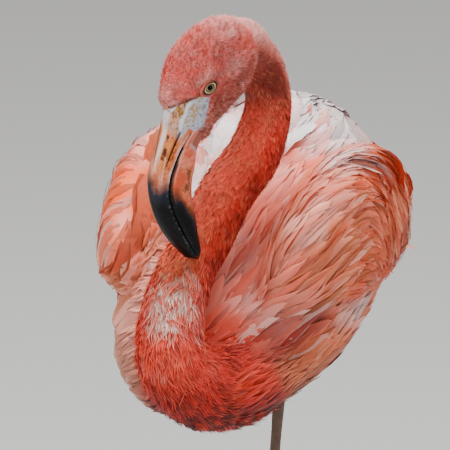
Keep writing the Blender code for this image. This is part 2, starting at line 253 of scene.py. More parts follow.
def read_edges(mesh):
    edges = np.empty(len(mesh.edges) * 2, np.int32)
    mesh.edges.foreach_get("vertices", edges)
    return edges.reshape(-1, 2)


def read_normals(mesh):
    normals = np.empty(len(mesh.vertices) * 3, np.float32)
    mesh.vertex_normals.foreach_get("vector", normals)
    return normals.reshape(-1, 3).astype(float)


def write_points(mesh, points):
    mesh.vertices.foreach_set("co", points.astype(np.float32).ravel())
    mesh.update()


def store(mesh, name, values, kind):
    """Values at the mesh's points as a named attribute."""
    field = {"FLOAT": "value", "FLOAT_VECTOR": "vector", "FLOAT_COLOR": "color"}[kind]
    layer = mesh.attributes.new(name, kind, "POINT")
    values = np.asarray(values, np.float32)
    if kind == "FLOAT_COLOR":
        values = np.column_stack((values, np.ones(len(values), np.float32)))
    layer.data.foreach_set(field, values.ravel())


def fetch(mesh, name, width):
    """A named attribute as rows of `width` numbers."""
    field = {1: "value", 3: "vector", 4: "color"}[width]
    layer = mesh.attributes[name]
    values = np.empty(len(layer.data) * width, np.float32)
    layer.data.foreach_get(field, values)
    return values.reshape(-1, width).astype(float)


def store_map(mesh, name, values):
    layer = mesh.uv_layers.new(name=name)
    layer.uv.foreach_set("vector", np.asarray(values, np.float32).ravel())


def corner_points(mesh):
    """The point that each face corner stands on."""
    corners = np.empty(len(mesh.loops), np.int32)
    mesh.loops.foreach_get("vertex_index", corners)
    return corners


def freeze(made):
    """The object's evaluated mesh, kept in place of the object."""
    source = made.data
    mesh = bpy.data.meshes.new_from_object(made.evaluated_get(bpy.context.evaluated_depsgraph_get()))
    bpy.data.objects.remove(made)
    bpy.data.meshes.remove(source)
    return mesh


def weld(made):
    """Merges doubled points and turns every face outward."""
    work = bmesh.new()
    work.from_mesh(made.data)
    bmesh.ops.remove_doubles(work, verts=work.verts, dist=0.002 * MM)
    bmesh.ops.dissolve_degenerate(work, dist=0.001 * MM, edges=work.edges)
    bmesh.ops.recalc_face_normals(work, faces=work.faces)
    work.to_mesh(made.data)
    work.free()
    made.data.shade_smooth()
    return made


def join(target, other):
    """Merges the other object into the target."""
    with bpy.context.temp_override(active_object=target, object=target,
                                   selected_objects=[target, other],
                                   selected_editable_objects=[target, other]):
        bpy.ops.object.join()


def blur(values, edges, times):
    """Values at a mesh's points, each moved half way to its neighbours' mean, many times."""
    count = np.bincount(edges.ravel(), minlength=len(values))[:, None]
    for _ in range(times):
        total = np.stack([
            np.bincount(edges[:, 0], values[edges[:, 1], k], len(values))
            + np.bincount(edges[:, 1], values[edges[:, 0], k], len(values))
            for k in range(values.shape[1])], -1)
        values = values + 0.5 * (total / np.maximum(count, 1) - values)
    return values


# ---------------------------------------------------------------- colours of the coat
# The deepest red here is painted shade on the neck and breast, partly their own deeper red.
CORAL, SCARLET, SHADED_RED = paint(254, 88, 58), paint(248, 42, 20), paint(168, 12, 6)
HEAD_ROSE, HEAD_PALE, CHEEK = paint(240, 82, 72), paint(252, 178, 170), paint(184, 70, 52)
THROAT, BROW = paint(190, 104, 86), paint(254, 172, 160)
LORE, OCHRE, OLIVE = paint(180, 186, 202), paint(176, 120, 36), paint(74, 58, 28)
NECK_SHADE, PEACH = paint(136, 38, 22), paint(250, 140, 92)
PINK, PALE_PINK, CREAM = paint(254, 130, 108), paint(254, 200, 190), paint(254, 214, 180)
ORANGE, VIVID, RUST = paint(248, 104, 52), paint(250, 78, 14), paint(200, 54, 6)
# The maroon and the dark brown here are painted shade and painted shadow on the body and wings.
MAROON_SHADE, BROWN_SHADE = paint(118, 22, 8), paint(112, 52, 22)
# The grey here is painted shade in the folds of the back.
WHITE, CREASE_SHADE, TAN = paint(252, 240, 242), paint(170, 140, 136), paint(184, 100, 50)
# The leg brown is the dull leg as it looks in deep shade: partly its own colour, partly painted shade.
LEG_BROWN_IN_SHADE, INK = paint(78, 56, 42), paint(5, 4, 5)


# ---------------------------------------------------------------- skin
PARTS = ["trunk", "neck", "head", "wing"]
COAT_DEPTH = np.array([5.5, 3.0, 1.2, 5.5])          # how far the skin lies under the CAD, mm
FACE_AHEAD, FACE_ACROSS, FACE_UP = (2, 38), 3, (-27, 5)      # finer mesh round the bare skin, mm
SHOULDER_AT, SHOULDER_SIZE = (48, -90, 668), (44, 80, 74)    # hollow filled between neck and wing, mm
WALL_START, WALL_END = (45, -142, 652), (60, -78, 742)       # line along which it is smoothed, mm
WING_TOP_AT, WING_TOP_SIZE, WING_TOP_RISE = (-72, 10, 748), (30, 50, 22), 8
FILL_ROUNDS, WALL_ROUNDS = 5, 4


def part_of(node):
    """Which of PARTS a CAD node belongs to."""
    return next(i for i, part in enumerate(PARTS) if node.startswith(part))


def closed_flesh():
    """One voxel mesh round all the flesh solids and the eyes, without seams."""
    joined = bmesh.new()
    for name in FLESH + ["eye_left", "eye_right"]:
        joined.from_mesh(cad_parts[name].data)
    for vertex in bmesh.ops.create_icosphere(joined, subdivisions=4, radius=1)["verts"]:
        vertex.co = from_head(CHIN_AT + np.array(vertex.co) * CHIN_SIZE)
    bmesh.ops.remove_doubles(joined, verts=joined.verts, dist=SAME_PLACE)
    mesh = bpy.data.meshes.new("flesh")
    joined.to_mesh(mesh)
    joined.free()
    made = finish_object("flesh", mesh)
    change = made.modifiers.new("one skin", "REMESH")
    change.mode = "VOXEL"
    change.voxel_size = SKIN_VOXEL
    skin = freeze(made)
    fine = bmesh.new()
    fine.from_mesh(skin)
    f, across, u = to_head(np.array([e.verts[0].co for e in fine.edges])).T
    face = ((f > FACE_AHEAD[0]) & (f < FACE_AHEAD[1]) & (np.abs(across) > FACE_ACROSS)
            & (u > FACE_UP[0]) & (u < FACE_UP[1]))
    chosen = [edge for edge, inside in zip(fine.edges, face) if inside]
    bmesh.ops.subdivide_edges(fine, edges=chosen, cuts=3, use_grid_fill=True)
    bmesh.ops.triangulate(fine, faces=[face for face in fine.faces if len(face.verts) > 4])
    fine.to_mesh(skin)
    fine.free()
    return skin


def parts_near(points):
    """For each point a row with 1 at the part of the body that it belongs to."""
    corners, faces, owner = [], [], []
    for name in FLESH:
        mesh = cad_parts[name].data
        base = len(corners)
        corners += [v.co.copy() for v in mesh.vertices]
        faces += [[base + i for i in face.vertices] for face in mesh.polygons]
        owner += [part_of(name)] * len(mesh.polygons)
    tree = BVHTree.FromPolygons(corners, faces)
    near = np.array([owner[tree.find_nearest(Vector(p))[2]] for p in points])
    return np.eye(len(PARTS))[near]


def head_relief(q):
    """How far the face stands out or in, in millimetres, over the smooth head."""
    f, across, u = q[:, 0], np.abs(q[:, 1]), q[:, 2]
    flank = ease(across, 6, 12)

    def lump(f0, u0, wide, tall):
        return hill(f, f0, wide) * hill(u, u0, tall)

    brow = 2.9 * lump(-4, 8.2, 7, 3.6)
    socket = -1.4 * lump(2, 0, 7, 5) - 1.0 * lump(16, -9, 9, 6)
    cheek = 1.0 * lump(-8, -13, 12, 8)
    fold = 0.9 * hill(u + 22.5, 0.45 * (f - 22), 1.3) * ease(f, 8, 14) * ease(f, 27, 24)
    return (brow + socket + cheek + fold) * flank + 1.8 * lump(29, 10, 6, 7)


def lore_top(f):
    """Height of the upper edge of the bare skin, which climbs from the eye to the bill."""
    return -2.2 + 5.2 * ease(f, 4, 30)


def lore_share(q):
    """1 on the bare skin between the eye, the gape and the bill, 0 on feathers."""
    f, across, u = q[:, 0], np.abs(q[:, 1]), q[:, 2]
    top = lore_top(f)
    back = 2.6 - 0.98 * (u + 5.5)
    return (ease(u, top + 0.6, top - 0.6) * ease(f, back - 0.9, back + 0.9)
            * ease(across, 4, 7) * ease(u, -26, -22.5))


def lore_edge(q):
    """1 along the dark line of short feathers over the bare skin."""
    f, across, u = q[:, 0], np.abs(q[:, 1]), q[:, 2]
    return hill(u - lore_top(f), 1.0, 1.3) * ease(f, 2, 8) * ease(across, 3, 7)


def lie_of_coat(points, normals, share, along):
    """Which way the feathers run over the skin at each point."""
    q = to_head(points)
    head = -HEAD_AXES[0] + HEAD_AXES[2] * 0.25 * ease(q[:, 0], 0, 25)[:, None]
    head = head - HEAD_AXES[2] * (0.5 * ease(q[:, 2], 6, -14))[:, None]
    neck = -along
    x, y, z = points.T

    # breast feathers fan out from the foot of the neck, the rest run to the rear
    fan = unit((points - np.array([8, -172, 618]) * MM) * np.array([1.0, 1.0, 0.7]))
    rear = np.where(x[:, None] > -0.02, np.array([0.16, 0.97, 0.14]), np.array([-0.3, 0.6, -0.5]))
    rear = mix(rear, np.array([0.0, 0.97, 0.2]), ease(z, 0.66, 0.72) * ease(y, -0.05, 0.02))
    trunk = mix(fan, rear, ease(y, -0.15, -0.02))
    right_side = ease(x, -0.015, -0.035) * ease(z, 0.73, 0.70) * ease(y, 0.0, -0.05)
    trunk = mix(trunk, np.array([-0.80, 0.12, -0.42]), right_side)
    belly = ease(x, 0.025, 0.05) * ease(z, 0.655, 0.63) * ease(y, 0.04, -0.03)
    trunk = mix(trunk, np.array([0.62, 0.76, 0.16]), 0.85 * belly)
    hollow = ease(x, 0.0, 0.03) * ease(z, 0.60, 0.635) * ease(y, 0.04, -0.04)
    trunk = mix(trunk, np.array([0.42, 0.78, 0.44]), hollow)

    # wing feathers sweep back over the front edge, then hang down the outer side
    outer = ease(y, -0.12, 0.0) * ease(x, 0.06, 0.11)
    left = mix(np.array([0.47, 0.76, 0.44]), np.array([0.28, 0.45, -0.85]), outer)
    away = ease(normals @ np.array([0.32, -0.89, 0.31]), 0.88, 0.5)
    right = mix(np.array([-0.86, 0.10, -0.28]), np.array([-0.30, 0.25, -0.92]), away)
    right = mix(right, np.array([-0.10, 0.75, -0.55]), ease(y, 0.0, 0.06))
    wing = np.where(x[:, None] > 0, left, right)
    total = (trunk * share[:, :1] + neck * share[:, 1:2] + head * share[:, 2:3]
             + wing * share[:, 3:])
    return along_surface(total, normals)


def line_gap(points, start, end):
    """Distance in millimetres from the line between two places."""
    start, end = np.array(start, float), np.array(end, float)
    p = points / MM - start
    share = np.clip(p @ (end - start) / ((end - start) ** 2).sum(), 0, 1)
    return np.linalg.norm(p - share[:, None] * (end - start), axis=1)


def near(points, middle, reach):
    """1 at the middle, given in millimetres, fading smoothly to 0 past the reach."""
    gap = (points / MM - np.array(middle)) / np.array(reach)
    return np.exp(-(gap ** 2).sum(-1))


def head_colour(points, q):
    """Rose face with paler crown, brow and forehead, the pale brow partly a painted highlight, a dull cheek
    and throat, and the bare skin.
    """
    f, u = q[:, 0], q[:, 2]
    fine, fleck, broad = noise(points, 4 * MM, 1), noise(points, 2.4 * MM, 5), noise(points, 13 * MM, 6)
    head = mix(HEAD_ROSE, HEAD_PALE, 0.3 * ease(fine, -0.1, 0.9) + 0.16 * (1 + broad))
    head = mix(head, HEAD_PALE, 0.45 * ease(f, -14, -38) * ease(u, 4, 22))
    head = mix(head, HEAD_PALE, 0.7 * hill(f, -24, 8) * hill(u, -1, 7))
    # pale brow over the eye: pale feathers, partly a painted highlight on the lit brow ridge
    head = mix(head, BROW, 0.9 * hill(f, -1, 8) * hill(u, 7.5, 3.2))
    head = mix(head, mix(BROW, HEAD_PALE, 0.5) * 0.9, 0.85 * ease(f, 20, 30))
    head = mix(head, CHEEK, 0.85 * ease(u, -2, -12))
    head = mix(head, THROAT, 0.8 * ease(u, -13, -24) * ease(f, -12, 8))
    head = mix(head, OLIVE, 0.9 * lore_edge(q))
    bare = lore_share(q)
    head = mix(head, lore_colour(q), bare)
    return mix(head, head * 0.72, 0.45 * ease(fleck, 0.1, 0.8) * (1 - bare))


def lore_colour(q):
    """Bare skin, blue-white by the eye, in white and ochre bands along the ridge of the bill."""
    f, u = q[..., 0], q[..., 2]
    streak = noise(q * [0.35, 1.0, 0.5], 1.0, 71)
    fleck = noise(q * [0.7, 1.0, 0.7], 0.8, 72)
    blotch = noise(q * [0.5, 1.0, 0.5], 2.6, 73)
    under = 0.82 * (1.0 - u) - 0.57 * (f - 34.4) + 0.8 * blotch       # distance under the ridge, mm
    colour = mix(LORE, LORE * 0.5, 0.9 * ease(fleck + 0.7 * streak, -0.1, 0.8))
    ochre = ease(under, 11.8, 12.6) * ease(under, 23, 14.5)
    colour = mix(colour, paint(186, 142, 58), 0.9 * ochre * ease(fleck + 0.5 * streak, -0.3, 0.3))
    colour = mix(colour, paint(110, 90, 56), 0.6 * ease(under, 16, 20) * ease(fleck - streak, 0.3, 0.9))
    white = ease(under, 8.8, 9.8) * ease(under, 12.2, 11.4)
    colour = mix(colour, paint(222, 222, 228), 0.85 * white)
    band = ease(under, 1.8, 3.0) * ease(under, 9.6, 8.4)
    colour = mix(colour, mix(OCHRE, paint(214, 158, 124), ease(blotch, -0.2, 0.5)), 0.95 * band)
    colour = mix(colour, paint(112, 62, 26), 0.85 * band * ease(streak + 0.6 * fleck, 0.05, 0.5))
    return mix(colour, paint(214, 208, 214), 0.9 * ease(under, 2.8, 1.8))


def neck_colour(points, normals, t):
    """Coral and scarlet, shaded inside the upper bend, with a pale wet patch at its foot; painted shade down
    the side away from the key light and low down, and painted highlights on the bulge.
    """
    z = points[:, 2]
    fine, patch = noise(points, 5 * MM, 1), noise(points, 22 * MM, 2)
    neck = mix(CORAL, mix(CORAL, SCARLET, 0.45), ease(patch, -0.5, 0.8))
    neck = mix(neck, ORANGE, 0.6 * ease(z, 0.76, 0.71) * ease(fine, -0.8, 0.4))
    neck = mix(neck, PEACH, 0.35 * ease(fine, 0.0, 0.8))
    # painted shade: deeper scarlet, then dark red streaks, down the side of the neck that faces away from the
    # key light
    neck = mix(neck, SCARLET, 0.8 * ease(normals[:, 0], 0.35, 0.8) * ease(t, 11, 9.5))
    shade_side_streaks = ease(normals[:, 0], 0.6, 1.0) * ease(t, 10, 8.5) * ease(fine, -0.5, 0.4)
    neck = mix(neck, SHADED_RED, 0.8 * shade_side_streaks)
    high = ease(t, 9.2, 11.0)
    inner = ease(normals[:, 1] + 0.5 * normals[:, 2], 0.25, -0.2)
    neck = mix(neck, NECK_SHADE, 0.95 * high * inner)
    shade = ease(-normals[:, 0] - 0.3 * normals[:, 1], -0.2, 0.8) * ease(t, 6.2, 7.2) * ease(t, 10, 9)
    neck = mix(neck, paint(190, 84, 66), 0.65 * shade * ease(fine, -0.9, 0.3))
    neck = mix(neck, mix(CHEEK, HEAD_PALE, 0.45), 0.8 * ease(t, 10.2, 11.6) * (1 - inner))
    neck = mix(neck, HEAD_PALE * 0.9, 0.8 * ease(t, 13.2, 14.4) * ease(normals[:, 2], -0.2, 0.5))
    low = ease(t, 5.9, 5.0)
    neck = mix(neck, mix(SCARLET, CORAL, 0.5 + 0.4 * fine), 0.8 * low)
    # painted highlight: pale pink streaks on the upper part of the bulge at the foot of the neck
    light = ease(noise(points * [1, 1, 0.35], 4 * MM, 8), 0.25, 0.7)
    neck = mix(neck, PALE_PINK, 0.5 * low * light * ease(z, 0.615, 0.645))
    down = near(points, (8, -228, 684), (19, 34, 22)) * ease(t, 2.2, 3.0)
    wet = noise(points * [1, 1, 0.4], 4 * MM, 9)
    pale = np.clip(1.5 * down * ease(wet + 1.5 * down, 0.35, 0.8), 0, 1)
    neck = mix(neck, mix(CREAM, WHITE, 0.4), pale)
    stain = near(points, (8, -216, 700), (15, 20, 13))
    stain = stain * ease(noise(points * [1, 1, 0.4], 3 * MM, 10), -0.1, 0.5)
    neck = mix(neck, paint(206, 140, 78), 0.7 * stain)
    neck = mix(neck, TAN, 0.45 * near(points, (8, -206, 698), (20, 20, 12)) * ease(patch, -0.5, 0.5))
    # painted shade: dark red, then near-black maroon, towards the bottom of the neck's foot, and dark red in
    # the crevice between the bulge and the breast
    neck = mix(neck, SHADED_RED, 0.9 * low * ease(z, 0.640, 0.610))
    neck = mix(neck, MAROON_SHADE * 0.35, 0.85 * low * ease(z, 0.618, 0.585))
    return mix(neck, SHADED_RED, 0.9 * near(points, (40, -196, 630), (15, 26, 14)) * low)


def breast_share(points):
    """1 on the red breast, whose edge runs lower and further back towards the belly."""
    x, y, z = points.T
    place = (y + 0.9 * np.clip(x, 0, 0.1) - 1.1 * np.clip(0.618 - z, 0, 0.045)
             + 0.008 * noise(points, 14 * MM, 35))
    return ease(place, -0.085, -0.120) * ease(x, -0.045, -0.025)


def trunk_colour(points, normals):
    """White and pink back with painted shade in its folds, red breast darkened towards its foot by painted
    shade, painted shadow in dark red and maroon beside it, and an orange to tan belly with painted shade in
    brown low down.
    """
    x, y, z = points.T
    patch, broad = noise(points, 22 * MM, 2), noise(points, 45 * MM, 3)
    trunk = mix(mix(PINK, CORAL, 0.3), PALE_PINK, 0.7 * ease(broad, -0.3, 0.8))
    limit = 0.742 - 0.25 * np.clip(y + 0.02, 0, 0.12) - 0.05 * ease(x, 0.0, -0.03)
    back = ease(normals[:, 2], 0.0, 0.45) * ease(z - limit, -0.014, 0.008)
    trunk = mix(trunk, WHITE, back)
    # painted shade: greyish pink in the hollows between the folds of the back
    trunk = mix(trunk, mix(CREASE_SHADE, PINK, 0.35), 0.85 * back * ease(-fold_of_back(points), 0.0, 0.6))
    trunk = mix(trunk, PALE_PINK, 0.8 * back * ease(patch, 0.1, 0.7))
    trunk = mix(trunk, ORANGE, 0.85 * near(points, (30, -22, 742), (7, 26, 16)))
    trunk = mix(trunk, PALE_PINK, 0.9 * near(points, (47, 125, 717), (34, 50, 34)))
    trunk = mix(trunk, mix(PINK, CORAL, 0.5), 0.6 * ease(x, -0.02, -0.04) * back * ease(patch, -0.3, 0.3))
    front = breast_share(points)
    trunk = mix(trunk, CORAL, 0.35 * front * ease(z, 0.68, 0.72))
    beside = ease(y, -0.085, -0.135) * ease(x, 0.02, 0.035) * ease(z, 0.640, 0.655)
    trunk = mix(trunk, mix(PINK, PALE_PINK, 0.3 + 0.5 * ease(patch, -0.4, 0.5)), 0.85 * beside)
    red = front * ease(z, 0.665, 0.63) * (1 - 0.6 * ease(x, 0.035, 0.05) * ease(z, 0.625, 0.645))
    trunk = mix(trunk, mix(SCARLET, VIVID, 0.5 + 0.5 * broad), 0.95 * red)
    # painted shade: the breast going dark red, then maroon, towards the bottom
    trunk = mix(trunk, SHADED_RED, 0.85 * front * ease(z, 0.605, 0.58))
    trunk = mix(trunk, MAROON_SHADE * 0.5, 0.8 * front * ease(z, 0.588, 0.568))
    low = ease(z, 0.645, 0.60) * (1 - front)
    trunk = mix(trunk, mix(mix(ORANGE, TAN, 0.55), PEACH, ease(patch, -0.2, 0.9) * 0.6), 0.9 * low)
    # painted shade: dark brown towards the bottom of the belly
    trunk = mix(trunk, BROWN_SHADE, 0.75 * low * ease(z, 0.595, 0.56))
    trunk = mix(trunk, WHITE, 0.9 * near(points, (90, -8, 612), (16, 34, 11)))
    # painted shadow: a maroon patch and a dark red patch between the flank feathers and the red breast
    trunk = mix(trunk, MAROON_SHADE, 0.95 * near(points, (76, -104, 636), (40, 34, 17)))
    trunk = mix(trunk, SHADED_RED, 0.95 * near(points, (60, -134, 624), (34, 34, 13)))
    right = ease(x, -0.026, -0.04) * ease(z, 0.71, 0.68)
    dull = mix(paint(240, 152, 132), paint(196, 100, 70), ease(patch, -0.4, 0.5))
    return mix(trunk, mix(dull, paint(170, 104, 84), ease(z, 0.635, 0.595)), 0.9 * right)


def wing_roof(y):
    """Height of the lower limit of the wing's pale upper edge, which falls to the rear."""
    return 0.738 - 0.10 * np.clip(y - 0.03, 0, 0.1)


def wing_colour(points):
    """Rosy front with a maroon painted shadow low down, orange outer side under a white upper edge; the right
    wing is more orange, with painted shade in brown low down.
    """
    x, y, z = points.T
    patch, broad = noise(points, 14 * MM, 2), noise(points, 34 * MM, 3)
    rosy = mix(PINK, paint(254, 144, 118), ease(patch, -0.5, 0.5))
    wing = mix(rosy, PALE_PINK, 0.5 * ease(patch + 0.6 * broad, 0.1, 0.9))
    blush = ease(broad - 0.5 * patch, -0.5, 0.1) * ease(y, -0.15, -0.10)
    wing = mix(wing, mix(ORANGE, PEACH, 0.5), 0.85 * blush)
    wing = mix(wing, PALE_PINK, 0.7 * near(points, (72, -122, 716), (16, 22, 14)))
    outer = ease(y, -0.085, -0.03) * ease(x, 0.05, 0.085)
    over = z - wing_roof(y)
    vivid = mix(ORANGE, VIVID, 0.7 * ease(patch, -0.7, 0.2))
    wing = mix(wing, vivid, 0.92 * outer * ease(over, 0.004, -0.012))
    pale = mix(WHITE, PALE_PINK, ease(patch, -0.5, 0.6))
    wing = mix(wing, pale, 0.9 * ease(over, -0.008, 0.004) * ease(x, 0, 0.02))
    wing = mix(wing, mix(RUST, ORANGE, 0.4), 0.8 * outer * ease(z, 0.69, 0.63))
    # painted shadow: the same maroon patch as on the body beside it, low at the front of the left wing
    wing = mix(wing, MAROON_SHADE, 0.9 * near(points, (78, -106, 638), (36, 34, 16)))
    far = ease(x, -0.03, -0.05)
    wing = mix(wing, mix(ORANGE, PEACH, 0.6 * ease(patch, -0.2, 0.8)), 0.85 * far)
    wing = mix(wing, mix(VIVID, ORANGE, ease(patch, -0.5, 0.5)), 0.9 * far * ease(x, -0.066, -0.086))
    wing = mix(wing, PALE_PINK, 0.85 * near(points, (-66, -134, 708), (10, 13, 9)))
    wing = mix(wing, mix(paint(224, 128, 88), PINK, ease(patch, -0.4, 0.6)), 0.7 * far * ease(z, 0.705, 0.68))
    # painted shade: brown towards the bottom of the right wing
    wing = mix(wing, BROWN_SHADE, 0.4 * far * ease(z, 0.672, 0.65))
    return mix(wing, mix(PINK, PALE_PINK, 0.5), 0.9 * far * ease(z, 0.728, 0.742))


def coat_colour(points, normals, share, t):
    """The bird's markings, the same on the skin as on the feathers over it."""
    return (trunk_colour(points, normals) * share[:, :1]
            + neck_colour(points, normals, t) * share[:, 1:2]
            + head_colour(points, to_head(points)) * share[:, 2:3]
            + wing_colour(points) * share[:, 3:])


def fold_of_back(points):
    """Height from -1 to 1 of the folds that spread over the back from the foot of the neck."""
    round_neck = np.arctan2(points[:, 1] + 0.09, points[:, 0] - 0.03)
    return noise(np.stack((round_neck, 0 * round_neck, 0 * round_neck), -1), 0.15, 31)


def creases(points, normals):
    """Millimetres that the folds of the back stand out or in, on its upper left part only."""
    x, y, z = points.T
    return (5.0 * fold_of_back(points) * ease(normals[:, 2], 0.1, 0.5) * ease(z, 0.69, 0.73)
            * ease(y, -0.09, -0.03) * ease(x, -0.03, 0.01))


def fill_shoulder(mesh, points, edges, body):
    """Fills the hollow between the foot of the neck and the left wing, and smooths its wall."""
    shoulder = near(points, SHOULDER_AT, SHOULDER_SIZE) * (points[:, 0] > 0) * body
    for _ in range(FILL_ROUNDS):
        normals = read_normals(mesh)
        hollow = np.maximum(dot(blur(points, edges, 40) - points, normals), 0) * ease(shoulder, 0.15, 0.5)
        points = points + 1.5 * normals * hollow[:, None]
        write_points(mesh, points)
    wall = ease(line_gap(points, WALL_START, WALL_END), 42, 14) * body
    for _ in range(WALL_ROUNDS):
        points = mix(points, blur(points, edges, 60), wall)
    write_points(mesh, points)
    return points


def body_skin():
    """The seamless body mesh, set under the coat, with its markings as attributes."""
    mesh = closed_flesh()
    edges = read_edges(mesh)
    points = read_points(mesh)
    share = blur(parts_near(points), edges, 10)
    t = on_neck(points)[0]
    flank = np.maximum(ease(points[:, 0], 0.044, 0.060), ease(points[:, 0], -0.024, -0.036))
    moved = share[:, 1] * flank * ease(t, 4.2, 3.0)
    share[:, 0] += moved
    share[:, 1] -= moved
    body = share[:, 0] + share[:, 3]
    rounded = blur(points, edges, 30)
    points = mix(blur(points, edges, 6), rounded, body)
    write_points(mesh, points)
    points = fill_shoulder(mesh, points, edges, body)
    normals = read_normals(mesh)
    t, along, _ = on_neck(points)
    depth = share @ COAT_DEPTH - 1.6 * share[:, 1] * ease(t, 7, 11)
    points = points - normals * depth[:, None] * MM
    rise = (head_relief(to_head(points)) * share[:, 2] + creases(points, normals) * share[:, 0]
            + 1.8 * noise(points, 26 * MM, 33) * share[:, 3])
    rise = rise + WING_TOP_RISE * near(points, WING_TOP_AT, WING_TOP_SIZE) * body
    points = points + normals * rise[:, None] * MM
    write_points(mesh, points)
    mesh.shade_smooth()
    normals = read_normals(mesh)
    lie = along_surface(blur(lie_of_coat(points, normals, share, along), edges, 25), normals)
    wet = 0.12 + 0.4 * share[:, 1] * ease(t, 6.5, 5.0)
    turn = (wet * noise(points, 8 * MM, 34))[:, None]
    lie = lie * np.cos(turn) + np.cross(normals, lie) * np.sin(turn)
    store(mesh, "tint", coat_colour(points, normals, share, t), "FLOAT_COLOR")
    store(mesh, "lie", lie, "FLOAT_VECTOR")
    for i, part in enumerate(PARTS):
        store(mesh, part, share[:, i], "FLOAT")
    store(mesh, "neck_t", t, "FLOAT")
    return mesh


# ---------------------------------------------------------------- legs and feet
LEG_SIDES, RING_GAP = 28, 1.7
SHANK_RADII = [6.3, 5.0, 4.8, 6.0, 9.0, 10.2]             # knee to ankle
TARSUS_RADII = [9.0, 8.4, 6.2, 4.6, 4.6, 5.8, 6.2]        # ankle to foot


def limb(corners, where, radii, seed):
    """Closed scaly tube through corner points, radii in millimetres at distances."""
    corners = np.asarray(corners, float)
    reach = np.concatenate(([0], np.cumsum(np.linalg.norm(np.diff(corners, axis=0), axis=1))))
    s = np.arange(0, reach[-1] + RING_GAP, RING_GAP)
    path = np.stack([np.interp(s, reach, corners[:, k]) for k in range(3)], -1)
    for _ in range(12):
        path[1:-1] = (path[:-2] + 2 * path[1:-1] + path[2:]) / 4
    along = unit(np.gradient(path, axis=0))
    side = along_surface(np.tile([1.0, 0, 0], (len(s), 1)), along)
    front = np.cross(along, side)
    angle = ring(LEG_SIDES)
    radius = np.interp(s, where, radii)
    for _ in range(3):
        radius[1:-1] = (radius[:-2] + 2 * radius[1:-1] + radius[2:]) / 4
    scute = np.abs(np.sin(np.pi * s / 4.4))[:, None] ** 0.5 * ease(np.cos(angle - np.pi / 2), 0.1, 0.6)
    grain = noise(np.stack((np.repeat(s[:, None], LEG_SIDES, 1), 6 * np.cos(angle) + 0 * s[:, None],
                            6 * np.sin(angle) + 0 * s[:, None]), -1), 2.2, seed)
    r = radius[:, None] * np.sqrt(0.85 ** 2 * np.cos(angle) ** 2 + np.sin(angle) ** 2)
    r = r + 0.28 * scute + 0.16 * grain - 0.3
    points = (path[:, None] + (side[:, None] * np.cos(angle)[:, None] + front[:, None]
                               * np.sin(angle)[:, None]) * r[..., None])
    start, end = np.broadcast_to(path[0], points[0].shape), np.broadcast_to(path[-1], points[0].shape)
    return np.concatenate((start[None], points, end[None])) * MM


def leg_tubes():
    """Standing leg as one bent tube, tucked leg as two that lie side by side."""
    tubes = []
    for word in ("left", "right"):
        knee, ankle, heel = (np.array(table[word], float) for table in (KNEES, ANKLES, HEELS))
        shank = np.linalg.norm(ankle - knee)
        start = ankle - np.array([0, 0, FOLD_DROP[word]])
        tarsus = np.linalg.norm(heel - start)
        above = [0, 60, shank - 60, shank - 26, shank - 12, shank]
        below = [0, 12, 28, 60, tarsus - 50, tarsus - 12]
        if word == "left":
            foot = heel + (heel - start) / tarsus * 5
            where = above[:-1] + [shank + b for b in below + [tarsus + 6]]
            tubes.append(limb([knee, ankle, foot], where, SHANK_RADII + TARSUS_RADII[1:], 3))
        else:
            end = ankle + (ankle - knee) / shank * 5
            tubes.append(limb([knee, end], above + [shank + 5], SHANK_RADII + [8.0], 4))
            tubes.append(limb([start, heel], below + [tarsus], TARSUS_RADII, 5))
    return tubes


def foot_mesh(name):
    """The CAD foot rounded by subdivision, with scales raised on its upper side."""
    source = bmesh.new()
    source.from_mesh(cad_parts[name].data)
    bmesh.ops.remove_doubles(source, verts=source.verts, dist=SAME_PLACE)
    bmesh.ops.join_triangles(source, faces=source.faces, angle_face_threshold=3.1,
                             angle_shape_threshold=3.1)
    mesh = bpy.data.meshes.new(name + "_copy")
    source.to_mesh(mesh)
    source.free()
    made = finish_object(name + "_copy", mesh)
    change = made.modifiers.new("rounding", "SUBSURF")
    change.levels = change.render_levels = 3
    smooth = freeze(made)
    points, normals = read_points(smooth), read_normals(smooth)
    top = ease(normals[:, 2] if name == "foot_left" else -normals[:, 2], 0.0, 0.5)
    plates = np.abs(np.sin(np.pi * points[:, 1] / (3.6 * MM))) ** 0.5
    raised = 0.22 * plates + 0.2 * noise(points, 2.4 * MM, 6)
    write_points(smooth, points + normals * (raised * top - 0.1)[:, None] * MM)
    return smooth


def make_legs():
    """Both legs and feet as one object."""
    welded = bmesh.new()
    parts = [quad_mesh("leg", points.reshape(-1, 3), grid_quads(*points.shape[:2], True))
             for points in leg_tubes()]
    for mesh in parts + [foot_mesh("foot_left"), foot_mesh("foot_right")]:
        welded.from_mesh(mesh)
        bpy.data.meshes.remove(mesh)
    bmesh.ops.remove_doubles(welded, verts=welded.verts, dist=0.02 * MM)
    bmesh.ops.recalc_face_normals(welded, faces=welded.faces)
    mesh = bpy.data.meshes.new("legs")
    welded.to_mesh(mesh)
    welded.free()
    shade = ease(noise(read_points(mesh), 4 * MM, 9), -0.6, 0.8)
    # painted shade: the legs in the dull brown of a leg in deep shade, partly their own colour
    store(mesh, "tint", mix(LEG_BROWN_IN_SHADE, LEG_BROWN_IN_SHADE * 1.7, shade * 0.5), "FLOAT_COLOR")
    mesh.shade_smooth()
    return finish_object("legs", mesh)


def tinted_rings(name, points, colour):
    """Closed rings of points in the head's own millimetres as a tinted object."""
    rings, columns = points.shape[:2]
    mesh = quad_mesh(name, from_head(points.reshape(-1, 3)), grid_quads(rings, columns, True))
    store(mesh, "tint", colour.reshape(-1, 3), "FLOAT_COLOR")
    return weld(finish_object(name, mesh))


# ---------------------------------------------------------------- bill
BILL_STEPS, BILL_COLUMNS = 34, 72
BEADS = 8.5                              # along the lower edge, for each row of BILL


